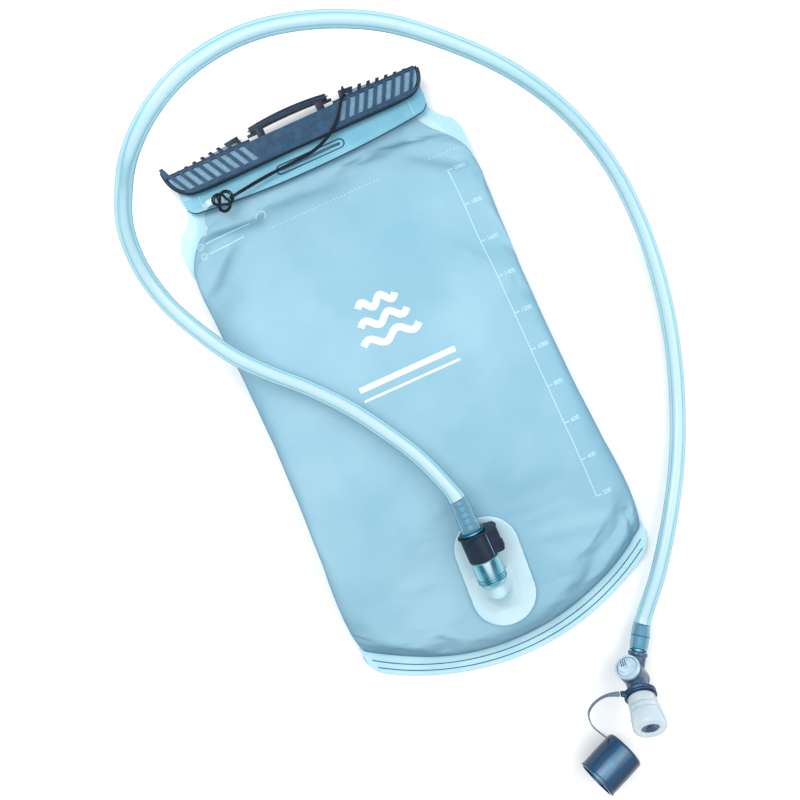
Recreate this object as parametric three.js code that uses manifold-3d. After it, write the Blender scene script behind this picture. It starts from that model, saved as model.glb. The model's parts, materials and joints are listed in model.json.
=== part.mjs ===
// A two-litre hydration bladder lying on its back, with its drink tube and bite valve.
// Units are millimetres. X runs across the bag, Y from the bottom weld up to the slide closure,
// Z out of the bag's front face. The origin is on the ground under the middle of the bag.

import * as THREE from 'three';
import { mergeVertices } from 'three/addons/utils/BufferGeometryUtils.js';
import Module from 'manifold-3d';

const wasm = await Module();
wasm.setup();

const { Vector2, Vector3, Matrix4 } = THREE;
const radians = THREE.MathUtils.degToRad;

// ---------------------------------------------------------------- driving dimensions

// Pouch: rows up the centreline, with the half width of the hollow and the heights of the
// back sheet, the side fold and the front sheet.
const POUCH_ROWS = [
  { y: -173.8, half: 94.0, back: 2.3, fold: 3.0, front: 3.8 },
  { y: -171.0, half: 95.3, back: 1.3, fold: 5.5, front: 11.5 },
  { y: -166.5, half: 96.2, back: 0.6, fold: 8.0, front: 18.0 },
  { y: -160.0, half: 96.6, back: 0.0, fold: 10.5, front: 22.0 },
  { y: -140.0, half: 96.7, back: 0.0, fold: 12.5, front: 24.5 },
  { y: -120.0, half: 96.2, back: 0.0, fold: 13.5, front: 27.0 },
  { y: -100.0, half: 95.4, back: 0.0, fold: 14.0, front: 29.5 },
  { y: -80.0, half: 94.3, back: 0.0, fold: 14.5, front: 32.0 },
  { y: -40.0, half: 92.0, back: 0.0, fold: 15.0, front: 33.0 },
  { y: 0.0, half: 91.2, back: 0.0, fold: 15.0, front: 32.5 },
  { y: 40.0, half: 91.6, back: 0.0, fold: 15.0, front: 31.0 },
  { y: 80.0, half: 93.5, back: 0.0, fold: 13.0, front: 27.5 },
  { y: 104.0, half: 95.2, back: 0.0, fold: 11.0, front: 22.5 },
  { y: 119.0, half: 93.5, back: 1.0, fold: 9.5, front: 18.0 },
  { y: 130.0, half: 86.0, back: 2.5, fold: 8.6, front: 14.5 },
  { y: 139.0, half: 76.5, back: 4.5, fold: 8.0, front: 11.0 },
  { y: 147.0, half: 73.5, back: 6.4, fold: 7.8, front: 9.2 },
  { y: 164.0, half: 73.5, back: 6.6, fold: 7.8, front: 9.0 },
];
const POUCH_FACETS = 26;
const FILM = 0.6;
const FRONT_ROUNDNESS = 2.4;
const BACK_ROUNDNESS = 3;
const BACK_SAG = 1.0;

// Welds: the curved band along the bottom and the clear margins at the shoulders.
const BOTTOM_WELD = { outerRadius: 169, innerRadius: 158.3, lowestY: -184.5, under: 2.5, thick: 1.2 };
const BOTTOM_CORNER = { x: 96.7, y: -146, round: 8 };
const SHOULDER_WELD = { neckX: 81.6, topY: 164, under: 7.2, thick: 1.2 };

// Slide closure: a moulded channel that grips the folded mouth.
const SLIDE = {
  halfLength: 84, bottomY: 160, crestY: 175.3, backZ: 2, rearWallZ: 5.5, frontWallZ: 12.5, faceZ: 16,
  cavityTopY: 173, lipY: 161.6, throat: [6.2, 12.2], stopWall: 2, cornerRun: 14,
};
const SLIDE_SHOULDER = { x: 34.5, y: 184.4, endY: 179.5, rampX: 26, notchY: 174.5 };
const HANDLE = {
  slotHalf: 17.5, postWidth: 5, halfLength: 30, tipY: 183, crownY: 185.4,
  underTipY: 179.9, underCrownY: 181.2, z: [9.2, 13], padZ: 5,
};
const GRIP = { count: 8, firstX: 33.4, pitch: 6.1, width: 3.7, lean: radians(28), depth: 1.2, tooth: 1.3 };
const FINGER = { tipX: -86.2, tipY: 181.5, width: 2.4 };
const CORD_EYE = { x: 37, y: 178.9, radius: 2.3 };

// Mouth of the pouch: a stiff flap folded over the seal bead and down over the front.
const BEAD = { y: 168.9, z: 9.0, radius: 2.2, halfLength: 81 };
const FLAP = {
  half: 81.6, foldOuter: 3.3, foldInner: 2.5, hingeY: 159, hingeZ: 10.4, lean: radians(12),
  thick: 1.6, sideDrop: 9.7, middleDrop: 15.6, corner: 8,
};
const FLAP_SLOT = { x: 2, drop: 7.4, half: 20, height: 2, rimHalf: 22.5, rimHeight: 6, rimThick: 0.6 };
const TAB = { x: -64, drop: 9.2, length: 13, width: 4.2, bar: 1.4, gap: 1.4 };

// Cord from the flap's tab to the slide closure.
const CORD = { radius: 0.85, spread: 1.1, steps: 84 };
const KNOT = { centre: new Vector3(-56.5, 147, 19.3), radius: 4, flatten: 0.55 };

// Port: a flange welded to the front sheet, tilted with it, and a socket along the bag.
const PORT = { x: -2.8, y: -124.4, z: 29.15, tilt: Math.atan(10 / 80), axisHeight: 10 };
const FLANGE = { offsetX: 2.8, turn: radians(-3.5), width: 36.7, length: 66.5, thick: 1.2 };
const SOCKET = { radius: 8.65, sleeveRadius: 6.6, bore: 5.3, collarStart: 13.8, sleeveEnd: 24.5 };
const CHAMBER = { endY: -12, radius: 7.2, bore: 5, wall: 1.6, seat: 3.5, seatY: [0.5, 2.2] };
const STUB = { y: -5, radius: 6.8, bore: 3.2, depth: 7, filmGap: 0.5 };
const COLLAR = {
  start: 13.9, end: 30.7, radius: 8.6, bore: 6.9, mouth: 5.5, housingX: 13.7, housingHalfZ: 7.9, lip: 0.9,
};
const BUTTON = {
  x: [9.7, 13.5], y: [16, 29.2], halfZ: 6, travel: 1.2,
  plateX: [-6.5, 10.9], plateY: [25.3, 26.9], plateHalfZ: 5.9,
};
const LATCH_SPRING = { radius: 1.8, wire: 0.25, turns: 3, x: [8.45, 11.5], y: 21 };
const PLUG = {
  tip: 3.6, radius: 5, bore: 2.4, sealY: 8.5, grooveRadius: 4.3, stopY: [31, 32.2], stopRadius: 7.9,
  barbRoot: 3.3, barbRadius: 4.1, barbEnd: 52, barbs: 4,
};
const SEAL_WIRE = 0.6;
const POPPET = { discY: [-4.8, -3.2], discRadius: 4.3, ribEnd: 3.3, ribHalf: 3.2, ribThick: 1.2 };
const POPPET_SPRING = { radius: 3.3, wire: 0.3, turns: 3, y: [-9.9, -5.2] };

// Drink tube: from the plug, up over the slide closure and down the right side to the bite valve.
const TUBE = { radius: 4.75, bore: 3.2, barbBore: 4.3, plugSleeve: [6.1, 5.6], valveSleeve: [5.3, 5.2] };
const TUBE_PATH = [
  [-7, -58, 47], [-14, -40, 47.5], [-24.5, -21, 47], [-38, 0, 46], [-54.4, 20, 45.5], [-71.6, 37.6, 46],
  [-86, 54.5, 48.5], [-98, 75.5, 53], [-106.4, 96, 60], [-109.5, 117, 70], [-105.5, 137, 84],
  [-95, 152, 98], [-82, 162.5, 112], [-62, 174, 122], [-38, 183, 126], [-7, 189, 121],
  [26, 187, 111], [62, 175.5, 99], [95, 154.5, 85], [123, 131, 69], [147.5, 101.5, 48],
  [163.6, 67.5, 28], [170, 30, 13.5], [168.5, -5, 7], [161, -42, 5.2], [148.3, -78.5, 5.5],
  [133.2, -110, 7.5], [113.6, -141, 10], [92, -170.5, 10.5],
].map(([x, y, z]) => new Vector3(x, y, z));
const TUBE_STEPS = 44;
const TUBE_FACETS = 8;

// Bite valve: an elbow with a shut-off knob, a swivelling inlet and a silicone mouthpiece.
const VALVE = {
  centre: new Vector3(51.9, -220.5, 16), mouthElevation: radians(51), mouthHeading: radians(18.6),
  knobRoll: radians(28), inletHeading: radians(36.2), inletRise: radians(12),
};
const HUB = { radius: 7.5, bottom: -6.6, top: 8.5, cavity: 4.9, cavityBottom: -4.9 };
const NECK = { radius: 6.5, flangeY: [10.4, 11.2], flangeRadius: 8.5, seatRadius: 7.4, seatEnd: 14.9,
  spigotRadius: 5.4, spigotEnd: 24, bore: 3.2 };
const INLET = {
  radius: 5.3, ringRadius: 5.9, end: 14.6, ringStart: 12.4, socket: 4.0, socketStart: 7, bore: 2.4,
};
const KNOB = { radius: 7.75, y: [9.2, 12.6], rotor: 4.6, rotorBottom: -4.6, sealY: 7.2, boss: 3.6, rim: 1.1,
  recess: 1.3, ribs: 8 };
const FITTING = { spigotEnd: 7.4, spigot: 3.7, sealAt: 9.6, flange: [14.9, 16.3], flangeRadius: 5.2,
  barbRoot: 3.2, barbRadius: 4.0, barbEnd: 31, bore: 2.2, barbs: 3 };
const SHEATH = { start: 15.2, end: 36, rootRadius: 8.3, rimRadius: 9.9, rootBore: 5.7, rootEnd: 24.4,
  cavity: 7.5, cavityEnd: 33.2, mouth: 5.3 };
const INSERT = { flange: [31.2, 32.9], flangeRadius: 7.2, bossRadius: 5.0, end: 35.2, slit: [5.5, 0.7] };
const RING = { inner: 7.7, outer: 9.85, y: [11.5, 14.6], lug: 2.4, lugWidth: 3.6, lugThick: 1.4 };
const STRAP = { thick: 1.1, width: 3.4, gap: 0.4 };
const STRAP_PATH = [[30.5, -219.8, 27.5], [23.2, -221.8, 24.5], [17, -227.5, 20.5], [15.7, -236.5, 16.5]];
const CAP = {
  centre: new Vector3(16.9, -264, 15.6), radius: 12.5, length: 26.6, wall: 1.5, heading: radians(17.5),
  dip: radians(12), strapAt: 8.8,
};

// Facets round large, middling and small round pieces.
const FACETS = { large: 18, middle: 14, small: 12, wire: 4 };

// ---------------------------------------------------------------- materials

const surface = (color, roughness, metalness = 0) =>
  new THREE.MeshStandardMaterial({ color, roughness, metalness });

const FILM_BLUE = surface(0xa5cfe0, 0.45);
const CLEAR_BLUE = surface(0xbfe6f2, 0.25);
const SLATE = surface(0x3f4d61, 0.6);
const NAVY = surface(0x232c40, 0.5);
const TEAL = surface(0x2a86a4, 0.3);
const TUBE_CYAN = surface(0x9fdbea, 0.2);
const SILICONE = surface(0xdfeef5, 0.4);
const KNOB_GREY = surface(0xc8d5e4, 0.45);
const CORD_BLACK = surface(0x1a2738, 0.8);
const SEAL_BLACK = surface(0x15181c, 0.7);
const STEEL = surface(0xb8bcc0, 0.3, 1);

// ---------------------------------------------------------------- geometry helpers

// Merges shared vertices, drops collapsed triangles and turns the faces outward.
function closed(geometry) {
  const bare = geometry.clone();
  bare.deleteAttribute('normal');
  bare.deleteAttribute('uv');
  const merged = mergeVertices(bare, 1e-4);
  const points = merged.attributes.position;
  const corners = [];
  let volume = 0;
  const [a, b, c] = [new Vector3(), new Vector3(), new Vector3()];
  for (let i = 0; i < merged.index.count; i += 3) {
    const triangle = [0, 1, 2].map((k) => merged.index.getX(i + k));
    if (new Set(triangle).size < 3) continue;
    corners.push(triangle);
    [a, b, c].forEach((corner, k) => corner.fromBufferAttribute(points, triangle[k]));
    volume += a.dot(b.cross(c));
  }
  merged.setIndex(corners.flatMap((t) => (volume < 0 ? [t[0], t[2], t[1]] : t)));
  return merged;
}

function solid(geometry) {
  const shell = closed(geometry);
  return new wasm.Manifold(new wasm.Mesh({
    numProp: 3,
    vertProperties: new Float32Array(shell.attributes.position.array),
    triVerts: new Uint32Array(shell.index.array),
  }));
}

function fromSolid(body) {
  const mesh = body.getMesh();
  const geometry = new THREE.BufferGeometry();
  geometry.setAttribute('position', new THREE.BufferAttribute(new Float32Array(mesh.vertProperties), 3));
  geometry.setIndex(new THREE.BufferAttribute(new Uint32Array(mesh.triVerts), 1));
  return geometry;
}

const join = (...geometries) => fromSolid(geometries.map(solid).reduce((all, next) => all.add(next)));
const cut = (geometry, ...tools) =>
  fromSolid(tools.map(solid).reduce((rest, tool) => rest.subtract(tool), solid(geometry)));
const keepInside = (geometry, limit) => fromSolid(solid(geometry).intersect(solid(limit)));

// A box from its low and high corners.
function block(low, high) {
  const size = high.map((value, i) => value - low[i]);
  const middle = high.map((value, i) => (value + low[i]) / 2);
  return new THREE.BoxGeometry(...size).translate(...middle);
}

// A solid of revolution about Y from [radius, y] pairs.
function turned(profile, facets = FACETS.middle) {
  return closed(new THREE.LatheGeometry(profile.map(([r, y]) => new Vector2(r, y)), facets));
}

// A round bar about Y between two heights.
function bar(radius, from, to, facets = FACETS.middle) {
  return new THREE.CylinderGeometry(radius, radius, to - from, facets).translate(0, (from + to) / 2, 0);
}

// An O-ring about Y.
function ring(major, minor, y, facets = FACETS.small) {
  const wire = Array.from({ length: FACETS.wire + 1 }, (_, i) => {
    const angle = (i % FACETS.wire) * 2 * Math.PI / FACETS.wire;
    return [major + minor * Math.cos(angle), y + minor * Math.sin(angle)];
  });
  return turned(wire, facets);
}

const alongZ = (geometry) => geometry.rotateX(Math.PI / 2);
const alongX = (geometry) => geometry.rotateZ(-Math.PI / 2);

function plate(shape, thickness, curveSegments = 12) {
  return new THREE.ExtrudeGeometry(shape, { depth: thickness, bevelEnabled: false, curveSegments });
}

// A flat bar or round wire swept along a curve.
function swept(shape, path, steps) {
  return new THREE.ExtrudeGeometry(shape, { steps, extrudePath: path, bevelEnabled: false });
}

function disc(radius, facets) {
  const points = Array.from({ length: facets }, (_, i) => {
    const angle = 2 * Math.PI * i / facets;
    return new Vector2(radius * Math.cos(angle), radius * Math.sin(angle));
  });
  return new THREE.Shape(points);
}

function stadium(halfLength, halfHeight) {
  const straight = halfLength - halfHeight;
  const shape = new THREE.Shape();
  shape.absarc(straight, 0, halfHeight, -Math.PI / 2, Math.PI / 2);
  shape.absarc(-straight, 0, halfHeight, Math.PI / 2, 3 * Math.PI / 2);
  return shape;
}

// A coil of round wire about X between two positions.
class CoilCurve extends THREE.Curve {
  constructor(radius, from, to, turns) {
    super();
    Object.assign(this, { radius, from, to, turns });
  }

  getPoint(t, target = new Vector3()) {
    const angle = 2 * Math.PI * this.turns * t;
    const x = this.from + (this.to - this.from) * t;
    return target.set(x, this.radius * Math.cos(angle), this.radius * Math.sin(angle));
  }
}

function coil({ radius, wire, turns }, from, to) {
  const curve = new CoilCurve(radius, from + wire, to - wire, turns);
  return swept(disc(wire, 4), curve, turns * 9);
}

// Saw-tooth barbs about Y, as [radius, y] pairs from the root to the tip.
function barbs(count, from, to, root, tip) {
  const pitch = (to - from) / count;
  return Array.from({ length: count }, (_, i) => [
    [root, from + i * pitch + 0.25 * pitch],
    [tip, from + i * pitch + 0.35 * pitch],
    [root + 0.1, from + (i + 1) * pitch],
  ]).flat();
}

// ---------------------------------------------------------------- pouch and mouth

function ramp(value, start, end) {
  return THREE.MathUtils.clamp((value - start) / (end - start), 0, 1);
}

// How far the bottom arc has risen at a distance from the centreline.
function arcRise(x) {
  return BOTTOM_WELD.innerRadius - Math.sqrt(BOTTOM_WELD.innerRadius ** 2 - x ** 2);
}

// One closed skin of the pouch; its inside is set in by the film's thickness and shifted up at
// both ends, which closes the bottom and leaves the mouth open.
function pouchSkin(inset, endShift) {
  const last = POUCH_ROWS.length - 1;
  const skin = new THREE.CylinderGeometry(1, 1, last, POUCH_FACETS, last);
  const points = skin.attributes.position;
  for (let i = 0; i < points.count; i++) {
    const index = Math.round(points.getY(i) + last / 2);
    const row = POUCH_ROWS[index];
    const angle = Math.atan2(points.getZ(i), points.getX(i));
    const onRim = Math.hypot(points.getX(i), points.getZ(i)) > 0.5 ? 1 : 0;
    const power = Math.sin(angle) > 0 ? FRONT_ROUNDNESS : BACK_ROUNDNESS;
    const across = Math.sign(Math.cos(angle)) * Math.abs(Math.cos(angle)) ** (2 / power);
    const height = onRim * Math.abs(Math.sin(angle)) ** (2 / power);
    const x = onRim * across * (row.half - inset);
    const frontReach = row.front - inset - row.fold;
    const backReach = row.fold - row.back - inset + BACK_SAG;
    const raised = Math.sin(angle) > 0 ? row.fold + frontReach * height : row.fold - backReach * height;
    const lift = arcRise(x) * (1 - ramp(row.y, -160, -80));
    const shift = index === 0 || index === last ? endShift : 0;
    points.setXYZ(i, x, row.y + lift + shift, Math.max(raised, row.back + inset));
  }
  return skin;
}

function bottomWeld() {
  const { outerRadius, innerRadius, lowestY, under, thick } = BOTTOM_WELD;
  const { x, y, round } = BOTTOM_CORNER;
  const centreY = lowestY + outerRadius;
  const reach = Math.asin((x - round) / outerRadius);
  const overlap = innerRadius - 2;
  const inner = Math.asin((x - 3) / overlap);
  const shape = new THREE.Shape();
  shape.moveTo(x, y);
  shape.quadraticCurveTo(x, y - round, (x - round), centreY - Math.cos(reach) * outerRadius);
  shape.absarc(0, centreY, outerRadius, -Math.PI / 2 + reach, -Math.PI / 2 - reach, true);
  shape.quadraticCurveTo(-x, y - round, -x, y);
  shape.absarc(0, centreY, overlap, -Math.PI / 2 - inner, -Math.PI / 2 + inner, false);
  return plate(shape, thick, 20).translate(0, 0, under);
}

// The clear margin at one shoulder, from the neck out to the side fold.
function shoulderWeld(side) {
  const { neckX, topY, under, thick } = SHOULDER_WELD;
  const shape = new THREE.Shape();
  shape.moveTo(side * neckX, topY);
  shape.lineTo(side * neckX, 151);
  shape.quadraticCurveTo(side * (neckX + 2), 145.5, side * 90.5, 140.5);
  shape.quadraticCurveTo(side * 95.4, 137, side * 95.4, 127);
  shape.lineTo(side * 95.2, 112);
  shape.lineTo(side * 92, 114);
  shape.quadraticCurveTo(side * 90, 124, side * 78, 134);
  shape.quadraticCurveTo(side * 71.5, 140, side * 71.5, 148);
  shape.lineTo(side * 71.5, topY);
  return plate(shape, thick, 6).translate(0, 0, under);
}

function bagFilm(portToBag) {
  const filmHole = alongZ(bar(STUB.radius + STUB.filmGap, -12, 4))
    .translate(0, STUB.y, 0)
    .applyMatrix4(portToBag);
  const skin = join(pouchSkin(0, 0), bottomWeld(), shoulderWeld(-1), shoulderWeld(1));
  return cut(skin, pouchSkin(FILM, 2 * FILM), filmHole);
}

// The fold round the bead: a hook in the Y-Z plane, drawn with Z as the shape's second axis.
function flapFold() {
  const { y, z } = BEAD;
  const shape = new THREE.Shape();
  shape.moveTo(FLAP.hingeY - 0.5, 9.4);
  shape.lineTo(y, z + FLAP.foldInner);
  shape.absarc(y, z, FLAP.foldInner, Math.PI / 2, -Math.PI / 2, true);
  shape.lineTo(162.6, z - FLAP.foldInner - 0.05);
  shape.lineTo(162.6, z - FLAP.foldOuter + 0.05);
  shape.lineTo(y, z - FLAP.foldOuter);
  shape.absarc(y, z, FLAP.foldOuter, -Math.PI / 2, Math.PI / 2, false);
  shape.lineTo(FLAP.hingeY - 0.5, 11.2);
  const toYZ = new Matrix4().makeBasis(new Vector3(0, 1, 0), new Vector3(0, 0, 1), new Vector3(1, 0, 0));
  return plate(shape, 2 * FLAP.half, 6).translate(0, 0, -FLAP.half).applyMatrix4(toYZ);
}

// Places something drawn flat (Y down the flap is negative) on the flap's leaning plane.
const ontoFlap = (geometry) =>
  geometry.rotateX(-FLAP.lean).translate(0, FLAP.hingeY, FLAP.hingeZ);

function flapSheet() {
  const { half, sideDrop, middleDrop, corner, thick } = FLAP;
  const slotRim = plate(stadium(FLAP_SLOT.rimHalf, FLAP_SLOT.rimHeight / 2), FLAP_SLOT.rimThick + 0.2, 6);
  const slot = plate(stadium(FLAP_SLOT.half, FLAP_SLOT.height / 2), 6, 5);
  const shape = new THREE.Shape();
  shape.moveTo(-half, 0.6);
  shape.lineTo(half, 0.6);
  shape.lineTo(half, -sideDrop + corner);
  shape.quadraticCurveTo(half, -sideDrop, half - corner, -sideDrop - 1.6);
  shape.quadraticCurveTo(0, -2 * middleDrop + sideDrop + 1.6, -half + corner, -sideDrop - 1.6);
  shape.quadraticCurveTo(-half, -sideDrop, -half, -sideDrop + corner);
  const sheet = plate(shape, thick, 10).translate(0, 0, -thick / 2);
  const rimmed = join(sheet, slotRim.translate(FLAP_SLOT.x, -FLAP_SLOT.drop, thick / 2 - 0.2));
  return ontoFlap(cut(rimmed, slot.translate(FLAP_SLOT.x, -FLAP_SLOT.drop, -3)));
}

const mouthFlap = () => join(flapFold(), flapSheet());

const sealBead = () => alongX(bar(BEAD.radius, -BEAD.halfLength, BEAD.halfLength, 12))
  .translate(0, BEAD.y, BEAD.z);

// A small bridge on the flap that the cord is tied round.
function cordTab() {
  const { x, drop, length, width, bar: thickness, gap } = TAB;
  const top = FLAP.thick / 2 + 0.1;
  const half = length / 2;
  const roof = top + gap + thickness;
  const outer = block([x - half, -drop - width / 2, top], [x + half, -drop + width / 2, roof]);
  const arch = block([x - half + 2, -drop - width, top - 1], [x + half - 2, -drop + width, top + gap]);
  return ontoFlap(cut(outer, arch));
}

// ---------------------------------------------------------------- slide closure

function slideOutline() {
  const { halfLength, bottomY, cornerRun, crestY } = SLIDE;
  const { x, y, endY, rampX, notchY } = SLIDE_SHOULDER;
  const shape = new THREE.Shape();
  shape.moveTo(-halfLength + cornerRun, bottomY);
  shape.lineTo(halfLength - cornerRun, bottomY);
  shape.quadraticCurveTo(halfLength - 1, bottomY, halfLength, crestY - 3);
  shape.lineTo(halfLength - 1, endY);
  shape.lineTo(x, y);
  shape.quadraticCurveTo(x - 1, notchY, rampX, notchY);
  shape.lineTo(-rampX, notchY);
  shape.quadraticCurveTo(-x + 1, notchY, -x, y);
  shape.lineTo(-halfLength + 4.5, endY);
  shape.lineTo(-halfLength + 2.5, crestY + 0.6);
  shape.lineTo(FINGER.tipX + FINGER.width, FINGER.tipY);
  shape.lineTo(FINGER.tipX, FINGER.tipY);
  shape.quadraticCurveTo(-halfLength - 1, bottomY + 2, -halfLength + cornerRun, bottomY);
  return shape;
}

// The carrying handle: an arched bar on two posts, with a long slot under it and a pad at each tip.
function handle() {
  const { slotHalf, postWidth, halfLength, tipY, crownY, underTipY, underCrownY, z, padZ } = HANDLE;
  const rootY = SLIDE_SHOULDER.notchY - 1;
  const arch = new THREE.Shape();
  arch.moveTo(-halfLength, tipY);
  arch.quadraticCurveTo(0, 2 * crownY - tipY, halfLength, tipY);
  arch.lineTo(halfLength - 0.8, underTipY);
  arch.quadraticCurveTo(0, 2 * underCrownY - underTipY, -halfLength + 0.8, underTipY);
  const bow = plate(arch, z[1] - z[0], 12).translate(0, 0, z[0]);
  const feet = [-1, 1].flatMap((side) => {
    const reach = [slotHalf, slotHalf + postWidth, halfLength - 1.4].map((x) => side * x);
    const post = [Math.min(reach[0], reach[1]), Math.max(reach[0], reach[1])];
    const pad = [Math.min(reach[1], reach[2]), Math.max(reach[1], reach[2])];
    return [
      block([post[0], rootY, z[0]], [post[1], underTipY + 2, z[1]]),
      block([pad[0], underTipY + 0.3, padZ], [pad[1], underTipY + 2.2, z[1] - 1]),
    ];
  });
  return join(bow, ...feet);
}

// One slanted recess of the grip pattern, between two heights.
function gripRecess(side, index, fromY, toY, fromZ, toZ) {
  const slant = side * Math.tan(GRIP.lean);
  const baseX = side * (GRIP.firstX + index * GRIP.pitch);
  const at = (y) => baseX + slant * (y - SLIDE.bottomY);
  const shape = new THREE.Shape([
    new Vector2(at(fromY) - GRIP.width / 2, fromY),
    new Vector2(at(fromY) + GRIP.width / 2, fromY),
    new Vector2(at(toY) + GRIP.width / 2, toY),
    new Vector2(at(toY) - GRIP.width / 2, toY),
  ]);
  return plate(shape, toZ - fromZ).translate(0, 0, fromZ);
}

// Height of the slide's sloping top edge where a recess runs out through it, between two teeth.
function topEdgeY(side, index) {
  const { x, y, endY } = SLIDE_SHOULDER;
  const run = GRIP.firstX + index * GRIP.pitch + Math.tan(GRIP.lean) * (y - 2 - SLIDE.bottomY);
  return y - (y - endY) * (run - x) / (SLIDE.halfLength - 1 - x);
}

function slideClosure() {
  const { halfLength, backZ, rearWallZ, frontWallZ, faceZ } = SLIDE;
  const { crestY, cavityTopY, lipY, throat, bottomY } = SLIDE;
  const body = join(plate(slideOutline(), faceZ - backZ, 8).translate(0, 0, backZ), handle());
  const farX = halfLength + 10;
  const innerX = -halfLength + SLIDE.stopWall;
  const channel = [
    block([innerX, lipY, rearWallZ], [farX, cavityTopY, frontWallZ]),
    block([innerX, bottomY - 1, throat[0]], [farX, lipY + 0.1, throat[1]]),
  ];
  const { rampX, y: shoulderY } = SLIDE_SHOULDER;
  const aboveCrest = [[-halfLength + 2, -rampX], [rampX, farX]].map(([from, to]) => (
    block([from, crestY, rearWallZ], [to, shoulderY + 5, faceZ + 1])
  ));
  const grips = [-1, 1].flatMap((side) => Array.from({ length: GRIP.count }, (_, i) => [
    gripRecess(side, i, bottomY + 3, crestY - 1.2, faceZ - GRIP.depth, faceZ + 1),
    gripRecess(side, i, crestY + 1.4, shoulderY + 4, rearWallZ - GRIP.depth, rearWallZ + 1),
    gripRecess(side, i, topEdgeY(side, i) - GRIP.tooth, shoulderY + 4, 0, rearWallZ + 1),
  ]).flat());
  const eye = alongZ(bar(CORD_EYE.radius, 0, 9, 12)).translate(CORD_EYE.x, CORD_EYE.y, 0);
  return cut(body, ...channel, ...aboveCrest, ...grips, eye);
}

// ---------------------------------------------------------------- cord

// Both strands run from the knot over the slide's face, through the eye and round its top edge.
function cordPath() {
  const { spread } = CORD;
  const over = SLIDE.faceZ + 1.5;
  const strand = (offset) => [
    [KNOT.centre.x + 5.4, KNOT.centre.y + offset * 0.3, 19.6],
    [-32, 149.8 + offset, 17.6], [-14, 151.3 + offset, 17], [5, 153 + offset, 17],
    [20.5 - offset * 0.4, 159.4 + offset, over], [31.5 - offset * 0.8, 168.4 + offset * 0.5, over],
  ];
  const eye = [
    [CORD_EYE.x - 0.7, 175.4, 17.9], [CORD_EYE.x - 0.1, 178, 13], [CORD_EYE.x, CORD_EYE.y - 0.1, 6.5],
    [CORD_EYE.x, CORD_EYE.y, 2.4], [CORD_EYE.x - 0.3, 180.5, 1.1], [CORD_EYE.x - 0.8, 184.5, 1.1],
    [CORD_EYE.x - 1.5, 187, 3.4], [CORD_EYE.x - 2.6, 185.8, 9.5], [CORD_EYE.x - 3.6, 179.5, 16.4],
  ];
  const points = [...strand(-spread), ...eye, ...strand(spread).reverse()];
  return new THREE.CatmullRomCurve3(points.map((p) => new Vector3(...p)), false, 'centripetal');
}

function tetherCord() {
  const knot = new THREE.TorusKnotGeometry(KNOT.radius, CORD.radius + 0.25, 28, FACETS.wire, 2, 3)
    .scale(1, 1, KNOT.flatten)
    .translate(...KNOT.centre);
  return join(swept(disc(CORD.radius, FACETS.wire), cordPath(), CORD.steps), knot);
}

// ---------------------------------------------------------------- port, seen with Y along the plug

function portBody() {
  const height = PORT.axisHeight;
  const flange = plate(stadium(FLANGE.length / 2, FLANGE.width / 2), FLANGE.thick, 10)
    .rotateZ(Math.PI / 2 + FLANGE.turn)
    .translate(FLANGE.offsetX, 0, -FLANGE.thick);
  const shell = turned([
    [0, CHAMBER.endY], [CHAMBER.radius - 2, CHAMBER.endY], [CHAMBER.radius, CHAMBER.endY + 2],
    [CHAMBER.radius, -1], [SOCKET.radius, 1], [SOCKET.radius, SOCKET.collarStart - 0.3],
    [SOCKET.sleeveRadius, SOCKET.collarStart - 0.3], [SOCKET.sleeveRadius, SOCKET.sleeveEnd],
    [0, SOCKET.sleeveEnd],
  ]);
  const plinth = block([-5.5, CHAMBER.endY + 1, -0.6], [5.5, SOCKET.collarStart - 0.3, height - 5.5]);
  const stub = alongZ(bar(STUB.radius, -STUB.depth, height - 4)).translate(0, STUB.y, 0);
  const bores = turned([
    [0, CHAMBER.endY + CHAMBER.wall], [CHAMBER.bore, CHAMBER.endY + CHAMBER.wall],
    [CHAMBER.bore, CHAMBER.seatY[0]], [CHAMBER.seat, CHAMBER.seatY[0]], [CHAMBER.seat, CHAMBER.seatY[1]],
    [SOCKET.bore, CHAMBER.seatY[1]], [SOCKET.bore, SOCKET.sleeveEnd + 1], [0, SOCKET.sleeveEnd + 1],
  ]);
  const inlet = alongZ(bar(STUB.bore, -STUB.depth - 1, height - 2)).translate(0, STUB.y, 0);
  return cut(join(flange, shell.translate(0, 0, height), plinth, stub), bores.translate(0, 0, height), inlet);
}

// The latch plate's outline, grown all round and lengthened by a travel to the left.
function latchPlate(grow, travel) {
  const { plateX, plateY, plateHalfZ } = BUTTON;
  const halfLength = (plateX[1] - plateX[0] + travel) / 2 + grow;
  const outline = plate(stadium(halfLength, plateHalfZ + grow), plateY[1] - plateY[0] + 2 * grow, 8);
  return alongZ(outline).translate((plateX[0] + plateX[1] - travel) / 2, plateY[1] + grow, 0);
}

function portCollar() {
  const { start, end, radius, bore, mouth, housingX, housingHalfZ, lip } = COLLAR;
  const inner = BUTTON.x[0] - BUTTON.travel - 0.15;
  const tube = bar(radius, start, end - 0.1);
  const housing = block([0, start + 1.8, -housingHalfZ], [housingX, end - 0.1, housingHalfZ]);
  const lipPlate = alongZ(plate(stadium((radius + housingX) / 2 + lip, radius + lip), 1.1, 6))
    .translate((housingX - radius) / 2, end, 0);
  const tools = [
    bar(bore, start - 1, end - 1.4),
    bar(mouth, start, end + 1),
    block(
      [inner, BUTTON.y[0] - 0.3, -BUTTON.halfZ - 0.3],
      [housingX + 2, BUTTON.y[1] + 0.3, BUTTON.halfZ + 0.3],
    ),
    latchPlate(0.3, BUTTON.travel),
  ];
  return cut(join(tube, housing, lipPlate), ...tools).translate(0, 0, PORT.axisHeight);
}

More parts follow.
